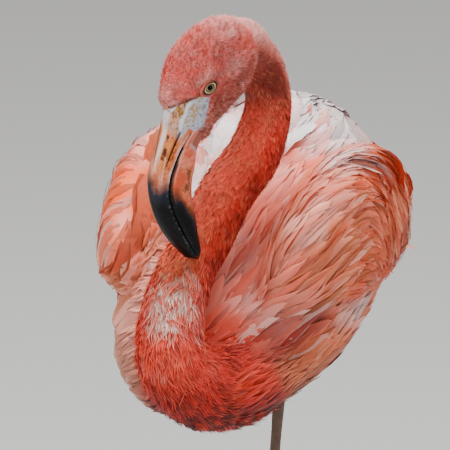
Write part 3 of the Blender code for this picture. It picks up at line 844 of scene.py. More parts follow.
def bill_grid(upper):
    """Rows along one half of the bill: points in the head's axes, s, angle and rise."""
    rows = spline([BILL_ROOT] + BILL, BILL_STEPS)
    s = np.linspace(-1, len(BILL) - 1, len(rows))
    edge = np.stack((rows[:, 2], 0 * s, rows[:, 3]), -1)
    far = np.stack((rows[:, 0], 0 * s, rows[:, 1]) if upper else (rows[:, 4], 0 * s, rows[:, 5]), -1)
    up = unit(far - edge)
    tall = np.linalg.norm(far - edge, axis=1)
    if not upper:
        edge, tall = edge + up * 0.4, tall - 0.4
    theta = np.linspace(0, np.pi, BILL_COLUMNS)
    rise = tall[:, None] * np.maximum(np.sin(theta), 0) ** 0.85
    across = rows[:, 6:7] * np.cos(theta)
    out = unit(np.stack((up[:, None, 0] * rise, across, up[:, None, 2] * rise), -1))
    points = edge[:, None] + up[:, None] * rise[..., None] + np.array([0, 1.0, 0]) * across[..., None]
    return points, out, s[:, None], np.degrees(theta)[None], rise


def from_edge(theta):
    """Degrees round the bill, from 0 at the closed edge to 90 on the ridge."""
    return 90 - np.abs(theta - 90)


def nostril_line(s, places):
    """Angle of the long nostril slit over the closed edge, in degrees."""
    return 16.5 + 3.0 * s + 1.3 * noise(places * [0.3, 1, 0.3], 9.0, 11)


def upper_relief(s, theta, rise, places):
    """Ridge, nostril slit with its plate, rolled lip, and worn pits near the root."""
    side = from_edge(theta)
    nostril = nostril_line(s, places)
    slit = hill(side, nostril, 3.2) * ease(s, 0.1, 0.35) * ease(s, 2.3, 1.8)
    plate = hill(side, nostril + 9, 4.5) * ease(s, 0.0, 0.4) * ease(s, 2.8, 1.6)
    crest = hill(side, 90, 16)
    lip = hill(rise, 1.1, 0.6) * ease(s, 7.8, 6.8)
    streak = noise(places * [0.18, 1.0, 0.18], 1.3, 12)
    scratch = noise(places * [0.10, 1.0, 0.10], 0.7, 24) * ease(s, 3.4, 4.2)
    pits = ease(noise(places * [0.6, 1, 0.6], 2.6, 13), 0.1, 0.5) * ease(s, 2.4, 1.0) * ease(side, 22, 32)
    return (0.5 * crest - 1.9 * slit + 0.6 * plate + 0.35 * lip + 0.12 * streak + 0.08 * scratch
            - 0.6 * pits * ease(side, 62, 52))


def lower_relief(s, theta, rise, places):
    """Inset edge with its row of beads, fine ribs, and pores towards the tip."""
    side = from_edge(theta)
    band = 0.5 + 1.9 * ease(s, 0.0, 2.2)
    inset = ease(rise, band + 0.6, band) * ease(s, 8.0, 7.4)
    beads = (np.abs(np.sin(np.pi * s * BEADS)) * ease(rise, 2.9, 1.9) * ease(rise, 0.2, 0.9)
             * ease(s, 7.8, 7.0))
    ribs = np.sin(np.radians(side) * 46 + noise(places * [0.15, 1, 0.15], 3.0, 14)) * ease(s, 0.6, 1.4)
    pores = ease(noise(places, 1.3, 25), 0.3, 0.7) * ease(s, 3.6, 4.4)
    return -1.1 * inset + 0.5 * beads + 0.12 * ribs + 0.12 * noise(places, 3.0, 15) - 0.12 * pores


def upper_colour(s, theta, rise, places):
    """Flesh and ochre with a pale ridge, brown marks and a black tip, with painted shade along the far
    contour and painted highlights along the lip and the edge of the black.
    """
    side = from_edge(theta)
    streak = noise(places * [0.25, 1.0, 0.25], 2.0, 16)
    blotch = noise(places * [0.6, 1.0, 0.6], 5.0, 17) + 0.5 * noise(places, 2.0, 18)
    speck = noise(places * [0.5, 1.0, 0.5], 1.3, 23)
    dust = noise(places * [0.7, 1.0, 0.7], 0.8, 26)
    colour = mix(paint(214, 100, 60), paint(238, 158, 134), ease(streak + 0.4 * dust, -0.6, 0.8))
    colour = mix(colour, paint(176, 84, 48), 0.6 * ease(speck, 0.15, 0.6) * ease(s, 1.4, 2.2))
    far_side = ease(theta, 78, 92) * ease(s, 0.2, 0.8)
    colour = mix(colour, paint(120, 96, 60), 0.7 * far_side * ease(s, 3.2, 1.6))
    ridge = ease(theta, 52 + 2 * s, 57 + 2 * s) * ease(theta, 80, 74) * ease(s, 3.6, 1.6)
    worn = mix(paint(236, 218, 212), paint(190, 160, 148), ease(streak + 0.6 * dust, -0.1, 0.7))
    colour = mix(colour, worn, 0.85 * ridge)
    face = ease(side, 4, 10) * (1 - ridge) * (1 - far_side) * ease(s, 3.4, 1.8)
    colour = mix(colour, mix(paint(206, 118, 46), paint(230, 158, 124), ease(blotch, -0.3, 0.4)), 0.8 * face)
    colour = mix(colour, paint(196, 92, 34), 0.7 * face * ease(side, 26, 18) * ease(s, 0.0, 0.4))
    pits = face * ease(side, 26, 31) * ease(side, 57, 49)
    colour = mix(colour, paint(150, 74, 28), 0.95 * pits * ease(blotch + 0.4 * dust, -0.15, 0.1))
    colour = mix(colour, paint(84, 40, 18), 0.95 * pits * ease(blotch + 0.4 * dust, 0.2, 0.45))
    stain = face * ease(side, 26, 14) * ease(speck + 0.5 * dust, 0.0, 0.4)
    colour = mix(colour, paint(134, 62, 24), 0.85 * stain)
    colour = mix(colour, paint(216, 206, 208), 0.8 * face * ease(s, 0.9, 0.1) * ease(blotch, 0.3, -0.2))
    colour = mix(colour, lore_colour(places), ease(s, 0.75, 0.1) * ease(side, 4, 12))
    slit = hill(side, nostril_line(s, places), 2.3) * ease(s, 0.1, 0.35) * ease(s, 2.6, 2.1)
    colour = mix(colour, paint(40, 18, 8), np.clip(1.3 * slit, 0, 1))
    # painted shade: a dark line along the far contour near the root
    colour = mix(colour, paint(24, 14, 12), 0.9 * hill(theta, 99 - 9 * s, 3.0) * ease(s, 2.8, 2.0))
    # painted highlight: a pale line along the rolled lip over the closed edge
    lip = ease(rise, 1.0, 0.6) * ease(s, -0.2, 0.2) * ease(s, 4.4, 3.6)
    colour = mix(colour, paint(250, 226, 218), 0.85 * lip)
    vein = hill(side, 33 - 7 * (s - 1.9), 1.2) * ease(s, 1.5, 2.0) * ease(s, 3.7, 3.2)
    colour = mix(colour, paint(250, 214, 196), 0.7 * vein)
    start = 3.45 + 0.2 * streak - 0.3 * ease(side, 50, 90) + 0.12 * blotch + 0.1 * dust      # of the black
    colour = mix(colour, paint(96, 66, 56), 0.75 * ease(s + 0.35 * dust, start - 0.7, start + 0.1))
    colour = mix(colour, paint(34, 38, 50), ease(s + 0.25 * dust, start - 0.25, start + 0.5))
    colour = mix(colour, INK, ease(s, start + 0.25, start + 1.3))
    colour = mix(colour, paint(44, 42, 42), 0.5 * ease(dust + streak, 0.5, 1.1) * ease(s, 4, 5))
    # painted highlight: a grey line along the edge of the black tip
    line = hill(rise, 1.3, 0.5) * ease(s, 3.5, 4.0) * ease(s, 7.9, 7.2)
    return mix(colour, paint(104, 106, 114), 0.6 * line * ease(dust, -0.2, 0.5))


def lower_colour(s, theta, rise, places):
    """Flesh red with olive spots, a grey root, a black tip and pale painted highlights on the beads along the
    edge.
    """
    side = from_edge(theta)
    streak = noise(places * [0.22, 1.0, 0.22], 1.8, 19)
    blotch = noise(places * [0.6, 1.0, 0.6], 4.6, 20) + 0.4 * noise(places, 2.0, 21)
    dust = noise(places * [0.6, 1.0, 0.6], 0.9, 27)
    colour = mix(paint(216, 84, 52), paint(240, 142, 112), ease(streak + 0.5 * dust, -0.6, 0.8))
    colour = mix(colour, paint(214, 98, 56), 0.5 * ease(s, 2.4, 4.2))
    colour = mix(colour, paint(186, 170, 172), 0.85 * ease(s, 0.65, 0.25) * ease(side, 6, 20))
    colour = mix(colour, THROAT * 0.7, ease(s + 0.1 * dust, 0.32, 0.12) * ease(side, 6, 20))
    band = 0.6 + 2.1 * ease(s, 0.0, 2.2)
    spots = ease(blotch + 0.3 * dust, 0.1, 0.4) * ease(s, 1.0, 1.8) * ease(side, 20, 28) * ease(side, 56, 46)
    colour = mix(colour, paint(96, 62, 22), 0.8 * spots)
    colour = mix(colour, paint(96, 50, 24), 0.7 * ease(dust + 0.3 * blotch, 0.25, 0.7) * ease(s, 2.4, 4.2))
    colour = mix(colour, paint(248, 190, 170), 0.75 * hill(rise, band + 0.9, 0.6) * ease(s, 3.6, 2.6))
    start = 4.05 + 1.7 * ease(side, 12, 48) + 0.25 * streak + 0.12 * dust                    # of the black
    colour = mix(colour, paint(92, 44, 26), 0.75 * ease(s, start - 0.6, start))
    colour = mix(colour, paint(28, 30, 40), ease(s + 0.2 * dust, start - 0.25, start + 0.5))
    dark = mix(INK, paint(46, 20, 16), 0.6 * ease(side, 30, 70) * ease(streak, -0.4, 0.4))
    colour = mix(colour, dark, ease(s, start + 0.2, start + 1.1))
    colour = mix(colour, paint(8, 9, 13), ease(rise, band + 0.4, band) * ease(s, -0.4, -0.1))
    # painted highlights: pale glints on the row of beads along the edge
    beads = (ease(rise, 2.2, 1.8) * ease(rise, 1.2, 1.5) * ease(s, 1.5, 2.5)
             * ease(np.abs(np.sin(np.pi * s * BEADS)), 0.88, 1.0))
    return mix(colour, paint(92, 96, 104), 0.55 * beads * ease(dust, -0.2, 0.5))


def bill_half(name, upper):
    """One half of the bill as a closed piece: its rounded side, a flat floor, a root and a tip."""
    points, out, s, theta, rise = bill_grid(upper)
    relief = (upper_relief if upper else lower_relief)(s, theta, rise, points)
    colour = (upper_colour if upper else lower_colour)(s, theta, rise, points)
    points = points + out * relief[..., None]
    under = np.linspace(0, 1, 8)[1:-1, None]
    floor = points[:, -1:] * (1 - under) + points[:, :1] * under
    points = np.concatenate((points, floor), 1)
    colour = np.concatenate((colour, np.repeat(colour[:, :1], len(under), 1)), 1)
    tip = np.array([BILL_TIP[0], 0, BILL_TIP[1]])
    if not upper:
        tip = tip + np.array([-0.7, 0, 0.5])
    start, end = (np.broadcast_to(p, points[0].shape)[None] for p in (points[0].mean(0), tip))
    nose = []
    for share in (0.3, 0.55, 0.75, 0.9, 0.98):
        nose.append(points[-1:] * (1 - share) ** 0.5 + end * (1 - (1 - share) ** 0.5))
    points = np.concatenate([start, points] + nose + [end])
    colour = np.concatenate([colour[:1], colour] + [colour[-1:]] * (len(nose) + 1))
    return tinted_rings(name, points, colour)


# ---------------------------------------------------------------- eyes
EYE_COLUMNS, LID_COLUMNS = 64, 72
IRIS_RADIUS, PUPIL_RADIUS = 2.82, 2.28
def eyeball(name, side):
    """Eyeball with its pupil and iris drawn in rings round the outward axis."""
    front, rear = np.radians(np.linspace(0, 40, 41)), np.radians(np.linspace(44, 180, 24))
    polar = np.concatenate((front, rear))
    facing = (polar < rear[0])[:, None]
    turn = ring(EYE_COLUMNS)
    r = EYE_RADIUS * np.sin(polar)[:, None]
    flat = np.zeros(EYE_COLUMNS)
    depth = EYE_OUT + (EYE_RADIUS + 0.12 * ease(r, 3.0, 0.0) * facing) * np.cos(polar)[:, None]
    points = np.stack((r * np.cos(turn), side * (depth + flat), r * np.sin(turn)), -1)
    spokes = noise(np.stack((np.cos(turn) * 14 + 0 * r, np.sin(turn) * 14 + 0 * r, r * 0.4 + flat), -1),
                   1.0, 22)
    colour = mix(paint(210, 182, 130), paint(156, 126, 78), ease(spokes, -0.6, 0.8) * 0.6)
    colour = mix(colour, paint(10, 7, 4), ease(r, IRIS_RADIUS - 0.06, IRIS_RADIUS + 0.06) + flat)
    # painted shadow over the upper side of the iris, under the brow
    colour = mix(colour, colour * 0.35, ease(np.sin(turn - 0.5), 0.1, 0.9) * ease(r, 1.5, 2.7))
    pupil = ease(r, PUPIL_RADIUS + 0.06, PUPIL_RADIUS - 0.06) * facing
    return tinted_rings(name, points, mix(colour, paint(1, 1, 1), pupil + flat))


# reach from the eye's axis, height out from the middle plane, colour
LID_LOOPS = [
    (3.05, 21.0, paint(6, 5, 3)), (3.15, 21.8, paint(5, 4, 3)), (3.45, 22.1, paint(6, 5, 4)),
    (3.58, 22.25, paint(206, 172, 124)), (3.92, 22.25, paint(206, 172, 124)), (4.05, 22.0, paint(10, 7, 5)),
    (4.3, 21.8, paint(5, 4, 3)), (4.5, 21.8, paint(10, 7, 5)), (4.7, 21.9, paint(120, 66, 50)),
    (5.1, 21.8, paint(130, 60, 48)), (5.6, 21.4, paint(180, 80, 68)), (6.4, 20.6, paint(190, 80, 68)),
    (7.6, 19.2, paint(180, 80, 68)), (8.2, 17.5, paint(180, 80, 68)),
]


def eyelids(side):
    """Two rings of bare lid round the opening, longer fore and aft than they are tall."""
    turn = ring(LID_COLUMNS)
    reach = np.array([loop[0] for loop in LID_LOOPS])[:, None]
    height = np.array([loop[1] for loop in LID_LOOPS])[:, None]
    long = 1 + 0.42 * ease(reach, 3.0, 4.8) * ease(reach, 8.2, 6.0) * np.abs(np.cos(turn))
    tall = 1 - 0.26 * ease(np.sin(turn), 0.0, 0.8)
    ahead, above = reach * long * np.cos(turn), reach * tall * np.sin(turn)
    wrinkle = 0.06 * np.sin(turn * 23) * ease(reach, 3.2, 4.4)
    ball = EYE_OUT + np.sqrt(np.maximum(EYE_RADIUS ** 2 - ahead ** 2 - above ** 2, 0))
    height = np.maximum(height, ball + np.where(reach < 3.1, -0.1, 0.25)) + wrinkle
    points = np.stack((ahead, side * height, above), -1)
    colour = np.array([loop[2] for loop in LID_LOOPS])[:, None] * np.ones((1, LID_COLUMNS, 1))
    mesh = quad_mesh("lids", from_head(points.reshape(-1, 3)), grid_quads(len(reach), LID_COLUMNS, True))
    store(mesh, "tint", colour.reshape(-1, 3), "FLOAT_COLOR")
    return finish_object("lids", mesh)


# ---------------------------------------------------------------- node trees
class Board:
    """A node tree with short ways to add its sockets, nodes and wires."""

    def __init__(self, tree):
        self.tree, self.nodes = tree, tree.nodes

    def sockets(self, way, rows):
        """New group sockets from rows of label, kind and, for some, a starting value."""
        for label, kind, *value in rows:
            made = self.tree.interface.new_socket(label, in_out=way, socket_type="NodeSocket" + kind)
            if value:
                made.default_value = value[0]

    def feed(self, place, value):
        """Wires an output to an input, or sets the input to a plain value."""
        if isinstance(value, bpy.types.NodeSocket):
            self.tree.links.new(value, place)
        else:
            place.default_value = value

    def node(self, kind, feeds=(), **settings):
        """A new node with its settings, and its inputs fed from a dict."""
        made = self.nodes.new(kind)
        for key, value in settings.items():
            setattr(made, key, value)
        for place, value in dict(feeds).items():
            self.feed(made.inputs[place], value)
        return made

    def maths(self, kind, *values):
        return self.node("ShaderNodeMath", dict(enumerate(values)), operation=kind).outputs[0]

    def scaled(self, vector, amount):
        feeds = {0: vector, "Scale": amount}
        return self.node("ShaderNodeVectorMath", feeds, operation="SCALE").outputs[0]

    def attribute(self, label, output):
        return self.node("ShaderNodeAttribute", attribute_name=label).outputs[output]


# ---------------------------------------------------------------- planting tufts
PATCH = 0.003                            # side of one feather's place in the OFBake map
PALE_EDGE = 0.3                          # how far the rim of a vane is bleached


def blade(name, strands, width, fan, lift, seed):
    """Few-faced tuft one unit long, lying along +Y with +Z away from the skin."""
    rng = np.random.default_rng(seed)
    steps = np.array([0.0, 0.4, 0.75, 1.0])
    taper = np.array([0.7, 1.0, 0.7, 0.12])
    points, places = [], []
    for k in range(strands):
        middle = (k - (strands - 1) / 2) / max(strands - 1, 1)
        reach = 1 - 0.3 * rng.random() * (k > 0)
        x = fan * middle * (0.4 + 0.6 * steps) + 0.05 * rng.normal() * steps ** 2
        z = -0.05 + lift * (1.5 * steps - 0.62 * steps ** 2) * (0.7 + 0.5 * rng.random())
        for end in (-1, 1):
            for i, step in enumerate(steps):
                tilt = 0.3 * (rng.random() - 0.5)
                points.append((x[i] + end * width * taper[i] / 2, step * reach,
                               z[i] + end * tilt * width))
                places.append(((k + 0.5 + 0.5 * end) / strands, step))
    quads = []
    for k in range(strands):
        base = k * 2 * len(steps)
        quads += [(base + i, base + len(steps) + i, base + len(steps) + i + 1, base + i + 1)
                  for i in range(len(steps) - 1)]
    quads = np.array(quads)
    mesh = quad_mesh(name, np.array(points), quads)
    store_map(mesh, "strand", np.array(places)[quads.ravel()])
    return finish_object(name, mesh)


def planting_tree():
    """Tufts scattered over a bed, along its `lie`, sized by `tuft`, thinned by `cover`."""
    board = Board(bpy.data.node_groups.new("plant tufts", "GeometryNodeTree"))
    board.sockets("INPUT", [("Bed", "Geometry"), ("Tuft", "Object"), ("Per Square Metre", "Float"),
                            ("Stand", "Float"), ("Swing", "Float"), ("Size Spread", "Float"),
                            ("Seed", "Int"), ("Finish", "Material")])
    board.sockets("OUTPUT", [("Coat", "Geometry")])
    given = board.node("NodeGroupInput").outputs

    def named(label, kind):
        made = board.node("GeometryNodeInputNamedAttribute", {"Name": label}, data_type=kind)
        return made.outputs["Attribute"]

    def chance(seed, low, high):
        made = board.node("FunctionNodeRandomValue", {"Seed": seed}, data_type="FLOAT")
        for place, value in zip([s for s in made.inputs if s.type == "VALUE"], (low, high)):
            board.feed(place, value)
        return next(s for s in made.outputs if s.type == "VALUE")

    density = board.maths("MULTIPLY", given["Per Square Metre"], named("cover", "FLOAT"))
    scatter = board.node("GeometryNodeDistributePointsOnFaces",
                         {"Mesh": given["Bed"], "Seed": given["Seed"], "Density": density},
                         distribute_method="RANDOM")
    here = board.node("GeometryNodeInputPosition").outputs[0]
    root = board.node("GeometryNodeStoreNamedAttribute",
                      {"Name": "root", "Geometry": scatter.outputs["Points"], "Value": here},
                      data_type="FLOAT_VECTOR", domain="POINT")
    facing = board.node("FunctionNodeAxesToRotation",
                        {"Primary Axis": scatter.outputs["Normal"],
                         "Secondary Axis": named("lie", "FLOAT_VECTOR")},
                        primary_axis="Z", secondary_axis="Y")
    swing, spread = given["Swing"], given["Size Spread"]
    lean = board.node("ShaderNodeCombineXYZ",
                      {0: chance(11, 0.0, given["Stand"]), 1: chance(13, -0.5, 0.5),
                       2: chance(12, board.maths("MULTIPLY", swing, -1.0), swing)})
    turned = board.node("FunctionNodeEulerToRotation", {0: lean.outputs[0]})
    both = board.node("FunctionNodeRotateRotation", {0: facing.outputs[0], 1: turned.outputs[0]},
                      rotation_space="LOCAL")
    gain = chance(14, board.maths("SUBTRACT", 1.0, spread), board.maths("ADD", 1.0, spread))
    source = board.node("GeometryNodeObjectInfo", {"Object": given["Tuft"]})
    copies = board.node("GeometryNodeInstanceOnPoints",
                        {"Points": root.outputs[0], "Instance": source.outputs["Geometry"],
                         "Rotation": both.outputs[0],
                         "Scale": board.scaled(named("tuft", "FLOAT_VECTOR"), gain)})
    solid = board.node("GeometryNodeRealizeInstances", {0: copies.outputs[0]})
    finish = board.node("GeometryNodeSetMaterial",
                        {"Geometry": solid.outputs[0], "Material": given["Finish"]})
    board.node("NodeGroupOutput", {"Coat": finish.outputs[0]})
    return board.tree


def chance_at(roots, seed):
    """The same chance number from 0 to 1 for every point that shares a root."""
    wave = np.sin(np.round(roots / SAME_PLACE) @ np.array([0.129898, 0.78233, 0.37719]) + seed)
    wave = wave * 43758.5453
    return wave - np.floor(wave)


def unwrap(points):
    """Place of skin points in the unit square: body, neck and head each unrolled round its axis."""
    part = parts_near(points).argmax(1)
    t, _, angle = on_neck(points)
    q = to_head(points)
    x, y, z = points.T
    body = np.stack((0.5 + 0.48 * np.arctan2(x + 0.002, z - 0.65) / np.pi,
                     0.02 + 0.5 * (y + 0.22) / 0.5), -1)
    neck = np.stack((0.02 + 0.96 * t / NAPE, 0.68 + 0.12 * angle / np.pi), -1)
    head = np.stack((0.02 + 0.96 * (q[:, 0] + 60) / 100,
                     0.91 + 0.07 * np.arctan2(q[:, 1], q[:, 2]) / np.pi), -1)
    place = np.where((part == 1)[:, None], neck, body)
    return np.clip(np.where((part == 2)[:, None], head, place), 0.005, 0.995)


def plant(name, tuft, finish, slot, cover, millimetres, per_metre, stand, swing, spread, seed, shades,
          stray):
    """Adds to the coat one piece of small tufts, as a plain mesh with its colours and OFBake map."""
    bed = finish_object(name + "_bed", skin.data.copy())
    store(bed.data, "cover", cover, "FLOAT")
    store(bed.data, "tuft", np.repeat((millimetres * MM)[:, None], 3, 1), "FLOAT_VECTOR")
    change = bed.modifiers.new("planting", "NODES")
    change.node_group = tree
    inputs = {"Tuft": tuft, "Per Square Metre": per_metre, "Stand": stand, "Swing": swing,
              "Size Spread": spread, "Seed": seed, "Finish": finish}
    for socket in tree.interface.items_tree:
        if socket.name in inputs and socket.in_out == "INPUT":
            change[socket.identifier] = inputs[socket.name]
    bed.update_tag()
    mesh = freeze(bed)
    mesh.name = name
    roots = fetch(mesh, "root", 3)
    tint = fetch(mesh, "tint", 4)[:, :3]
    for label in ("root", "tint", "lie", "cover", "tuft", "neck_t", *PARTS):
        if label in mesh.attributes:
            mesh.attributes.remove(mesh.attributes[label])
    own, first = np.unique(np.round(roots / SAME_PLACE).astype(np.int64), axis=0, return_inverse=True)
    first = first.ravel()
    root_of = np.zeros((len(own), 3))
    root_of[first] = roots
    dark, light = shades
    luck = chance_at(root_of, seed)
    clump = noise(root_of, 7 * MM, seed)
    gain = dark + (light - dark) * np.clip(0.5 * luck + 0.25 + 0.25 * clump, 0, 1)
    odd_colour, odds, most = stray
    odd = most * (0.35 + 0.65 * chance_at(root_of, seed + 5)) * (chance_at(root_of, seed + 9) < odds)
    tint = mix(tint, odd_colour, odd[first])
    store(mesh, "tint", np.clip(tint * gain[first][:, None], 0, 1), "FLOAT_COLOR")
    store(mesh, "chance", luck[first], "FLOAT")
    corners = corner_points(mesh)
    strand = np.empty(len(corners) * 2, np.float32)
    mesh.uv_layers["strand"].uv.foreach_get("vector", strand)
    place = unwrap(root_of)[first][corners]
    store_map(mesh, "OFBake", place + (strand.reshape(-1, 2) - 0.5) * PATCH)
    mesh.shade_smooth()
    coat.append((finish_object(name, mesh), slot))


# ---------------------------------------------------------------- long feathers
class Ground:
    """The skin as something that feathers are rooted on and laid over."""

    def __init__(self, mesh):
        self.points, normals = read_points(mesh), read_normals(mesh)
        quads = np.array([list(p.vertices) + [p.vertices[-1]] * (4 - len(p.vertices))
                          for p in mesh.polygons])
        self.quads = quads                               # a triangle names its last corner twice
        a, b, c, d = (self.points[quads[:, k]] for k in range(4))
        self.area = np.linalg.norm(np.cross(c - a, d - b), axis=1) / 2
        self.share = np.stack([fetch(mesh, part, 1)[:, 0] for part in PARTS], -1)
        self.neck_t = fetch(mesh, "neck_t", 1)[:, 0]
        self.face_normal = unit(blur(normals, read_edges(mesh), 12))[quads].mean(1)
        self.face_lie = fetch(mesh, "lie", 3)[quads].mean(1)
        self.face_tint = fetch(mesh, "tint", 4)[:, :3][quads].mean(1)
        self.on_neck = self.share[quads, 1].mean(1) > 0.4
        self.tree = BVHTree.FromPolygons(self.points.tolist(), quads.tolist())

    def scatter(self, weight, spacing, seed):
        """Roots spread by weight, none nearer to another than the spacing."""
        rng = np.random.default_rng(seed)
        face_weight = weight[self.quads].mean(1) * self.area
        count = int(4.5 * face_weight.sum() / spacing ** 2)
        face = rng.choice(len(self.quads), count, p=face_weight / face_weight.sum())
        s, r = rng.random((2, count, 1))
        corner = self.quads[face]
        bilinear = ((1 - s) * (1 - r), s * (1 - r), s * r, (1 - s) * r)
        points = sum(w * self.points[corner[:, k]] for k, w in enumerate(bilinear))
        keep, taken = [], {}
        for i, p in enumerate(points):
            cell = tuple((p // spacing).astype(int))
            near = (taken.get((cell[0] + dx, cell[1] + dy, cell[2] + dz))
                    for dx in (-1, 0, 1) for dy in (-1, 0, 1) for dz in (-1, 0, 1))
            if all(j is None or np.abs(points[j] - p).max() > spacing * 0.8 for j in near):
                taken[cell] = i
                keep.append(i)
        return points[keep]

    def trace(self, roots, reach, steps, swing, stiff):
        """Midribs bent over the skin along its lie, with the normals and tints under them."""
        here, normal, tint, heading = (np.empty_like(roots) for _ in range(4))
        off_neck = np.zeros((len(roots), steps + 1), bool)
        for i, p in enumerate(roots):
            place, _, face, _ = self.tree.find_nearest(Vector(p))
            here[i], normal[i] = place, self.face_normal[face]
            heading[i], tint[i] = self.face_lie[face], self.face_tint[face]
            off_neck[i, 0] = not self.on_neck[face]
        spines, normals, tints = [here.copy()], [normal.copy()], [tint.copy()]
        cos, sin = np.cos(swing)[:, None], np.sin(swing)[:, None]
        heading = along_surface(heading * cos + np.cross(normal, heading) * sin, normal)
        for step in range(1, steps + 1):
            ahead = here + heading * (reach / steps)[:, None]
            flow = np.empty_like(roots)
            for i, p in enumerate(ahead):
                place, _, face, _ = self.tree.find_nearest(Vector(p))
                here[i], normal[i] = place, self.face_normal[face]
                flow[i] = self.face_lie[face]
                off_neck[i, step] = not self.on_neck[face]
                if off_neck[i, step]:
                    tint[i] = self.face_tint[face]
            flow = flow * cos + np.cross(normal, flow) * sin
            here = mix(here, ahead, np.full(len(here), stiff))
            heading = along_surface(0.35 * flow + 0.65 * heading, normal)
            spines.append(here.copy())
            normals.append(unit(normal))
            tints.append(tint.copy())
        tints = np.stack(tints, 1)
        clear = off_neck.argmax(1)                       # feathers leaving the neck wear the body's colour
        for i in np.flatnonzero(clear):
            tints[i, :clear[i]] = tints[i, clear[i]]
        return np.stack(spines, 1), np.stack(normals, 1), tints


def vanes(name, spines, normals, width, tint, finish, seed, columns=5, camber=0.35, roll=0.12,
          rag=0.25, root_lift=1.0, tip_lift=6.0, blunt=2.2, shades=(0.85, 1.12), tip_colour=None,
          tip_share=0.6, split=0.03, curve=0.05):
    """Feathers as cambered vanes on their midribs, with ragged barbed edges and split tips."""
    rng = np.random.default_rng(seed)
    count, rows = spines.shape[:2]
    t = np.linspace(0, 1, rows)[None, :, None]
    x = np.linspace(-1, 1, columns)[None, None, :]
    along = unit(np.gradient(spines, axis=1))
    reach = np.linalg.norm(np.diff(spines, axis=1), axis=-1).sum(1)[:, None, None]
    side = unit(np.cross(along, normals))
    turn = rng.normal(0, roll, (count, 1, 1))
    side, out = (side * np.cos(turn) + normals * np.sin(turn),
                 normals * np.cos(turn) - side * np.sin(turn))
    wave = rng.normal(0, 1, (count, 1, 1))
    lift = (root_lift + (tip_lift - root_lift) * t ** 1.2 * (0.6 + 0.8 * rng.random((count, 1, 1)))
            + 0.5 * wave * np.sin(np.pi * t)) * MM
    shape = (0.35 + 0.65 * ease(t, 0, 0.3)) * np.maximum(1 - t ** blunt, 0) ** 0.75
    half = width[:, None, None] / 2 * shape
    edge = 1 - rag * rng.random((count, rows, columns)) ** 2 * np.abs(x) ** 2
    spread = half * x * edge + curve * rng.normal(0, 1, (count, 1, 1)) * reach * t ** 2.5
    sweep = 0.55 * half * np.abs(x) ** 1.5
    sweep = sweep * (1 + 0.5 * rag * rng.normal(0, 1, (count, rows, columns)) * np.abs(x))
    sweep = sweep + split * reach * rng.normal(0, 1, (count, 1, columns)) * ease(t, 0.5, 1.0)
    drop = -camber * half * x ** 2 + 0.04 * half * rng.normal(0, 1, (count, rows, columns)) * np.abs(x)
    points = (spines[:, :, None] + normals[:, :, None] * lift[..., None]
              + side[:, :, None] * spread[..., None]
              + along[:, :, None] * sweep[..., None] + out[:, :, None] * drop[..., None])
    one = grid_quads(rows, columns)
    quads = (one[None] + (np.arange(count) * rows * columns)[:, None, None]).reshape(-1, 4)
    mesh = quad_mesh(name, points.reshape(-1, 3), quads)
    mesh.materials.append(finish)
    dark, light = shades
    gain = dark + (light - dark) * rng.random((count, 1, 1, 1))
    # each vane darker towards its root: painted shade under the feathers that lie over it
    colour = tint[:, :, None] * gain * (0.80 + 0.22 * t[..., None])
    if tip_colour is not None:
        own = tip_share * (0.3 + 0.7 * rng.random((count, 1, 1)))
        colour = mix(colour, tip_colour, ease(t, 0.55, 1.0) * np.ones_like(x) * own)
    brighter = np.clip(colour * 1.15 + 0.06, 0, 1)
    rim = PALE_EDGE * np.abs(x) ** 2 * ease(t, 0.2, 0.8) * np.ones((count, 1, 1))
    colour = mix(colour, brighter, rim)
    store(mesh, "tint", np.clip(colour, 0, 1).reshape(-1, 3), "FLOAT_COLOR")
    luck = np.repeat(rng.random(count), rows * columns)
    store(mesh, "chance", luck, "FLOAT")
    local = np.stack(np.broadcast_arrays((x + 1) / 2, t), -1)
    local = np.broadcast_to(local, (count, rows, columns, 2)).reshape(-1, 2)
    place = np.repeat(unwrap(spines[:, 0]), rows * columns, 0)
    corners = quads.ravel()
    store_map(mesh, "strand", local[corners])
    store_map(mesh, "OFBake", (place + (local - 0.5) * PATCH)[corners])
    return finish_object(name, mesh)


def lay(name, weight, spacing, seed, long, wide, finish, slot, steps, swing, stiff=0.2, palette=(), **form):
    """Adds to the coat a tract of long feathers: lengths and widths in millimetres as (low, high)."""
    rng = np.random.default_rng(seed)
    roots = ground.scatter(weight, spacing * MM, seed)
    reach = rng.uniform(*long, len(roots)) * MM
    width = rng.uniform(*wide, len(roots)) * MM
    spines, normals, tint = ground.trace(roots, reach, steps, rng.normal(0, swing, len(roots)), stiff)
    for colour, odds, most in palette:
        own = most * rng.random(len(roots)) * (rng.random(len(roots)) < odds)
        tint = mix(tint, colour, np.repeat(own[:, None], steps + 1, 1))
    coat.append((vanes(name, spines, normals, width, tint, finish, seed, **form), slot))


# ---------------------------------------------------------------- materials
BARB_NUMBERS = {"Barb Count": 30.0, "Barb Strength": 0.3, "Shaft": 0.4, "Root Shade": 0.3,
                "Pale Tip": 0.0}
GRAIN_NUMBERS = {"Grain Size": 900.0, "Grain Strength": 0.2, "Roughness Low": 0.4,
                 "Roughness High": 0.6}
PALE_TIP = (0.92, 0.52, 0.45, 1)


def pattern_board(name, numbers):
    """New shader group with number inputs; it puts out a colour, a roughness and a height."""
    board = Board(bpy.data.node_groups.new(name, "ShaderNodeTree"))
    board.sockets("INPUT", [(label, "Float", value) for label, value in numbers.items()])
    board.sockets("OUTPUT", [("Color", "Color"), ("Roughness", "Float"), ("Height", "Float")])
    return board, board.node("NodeGroupInput").outputs


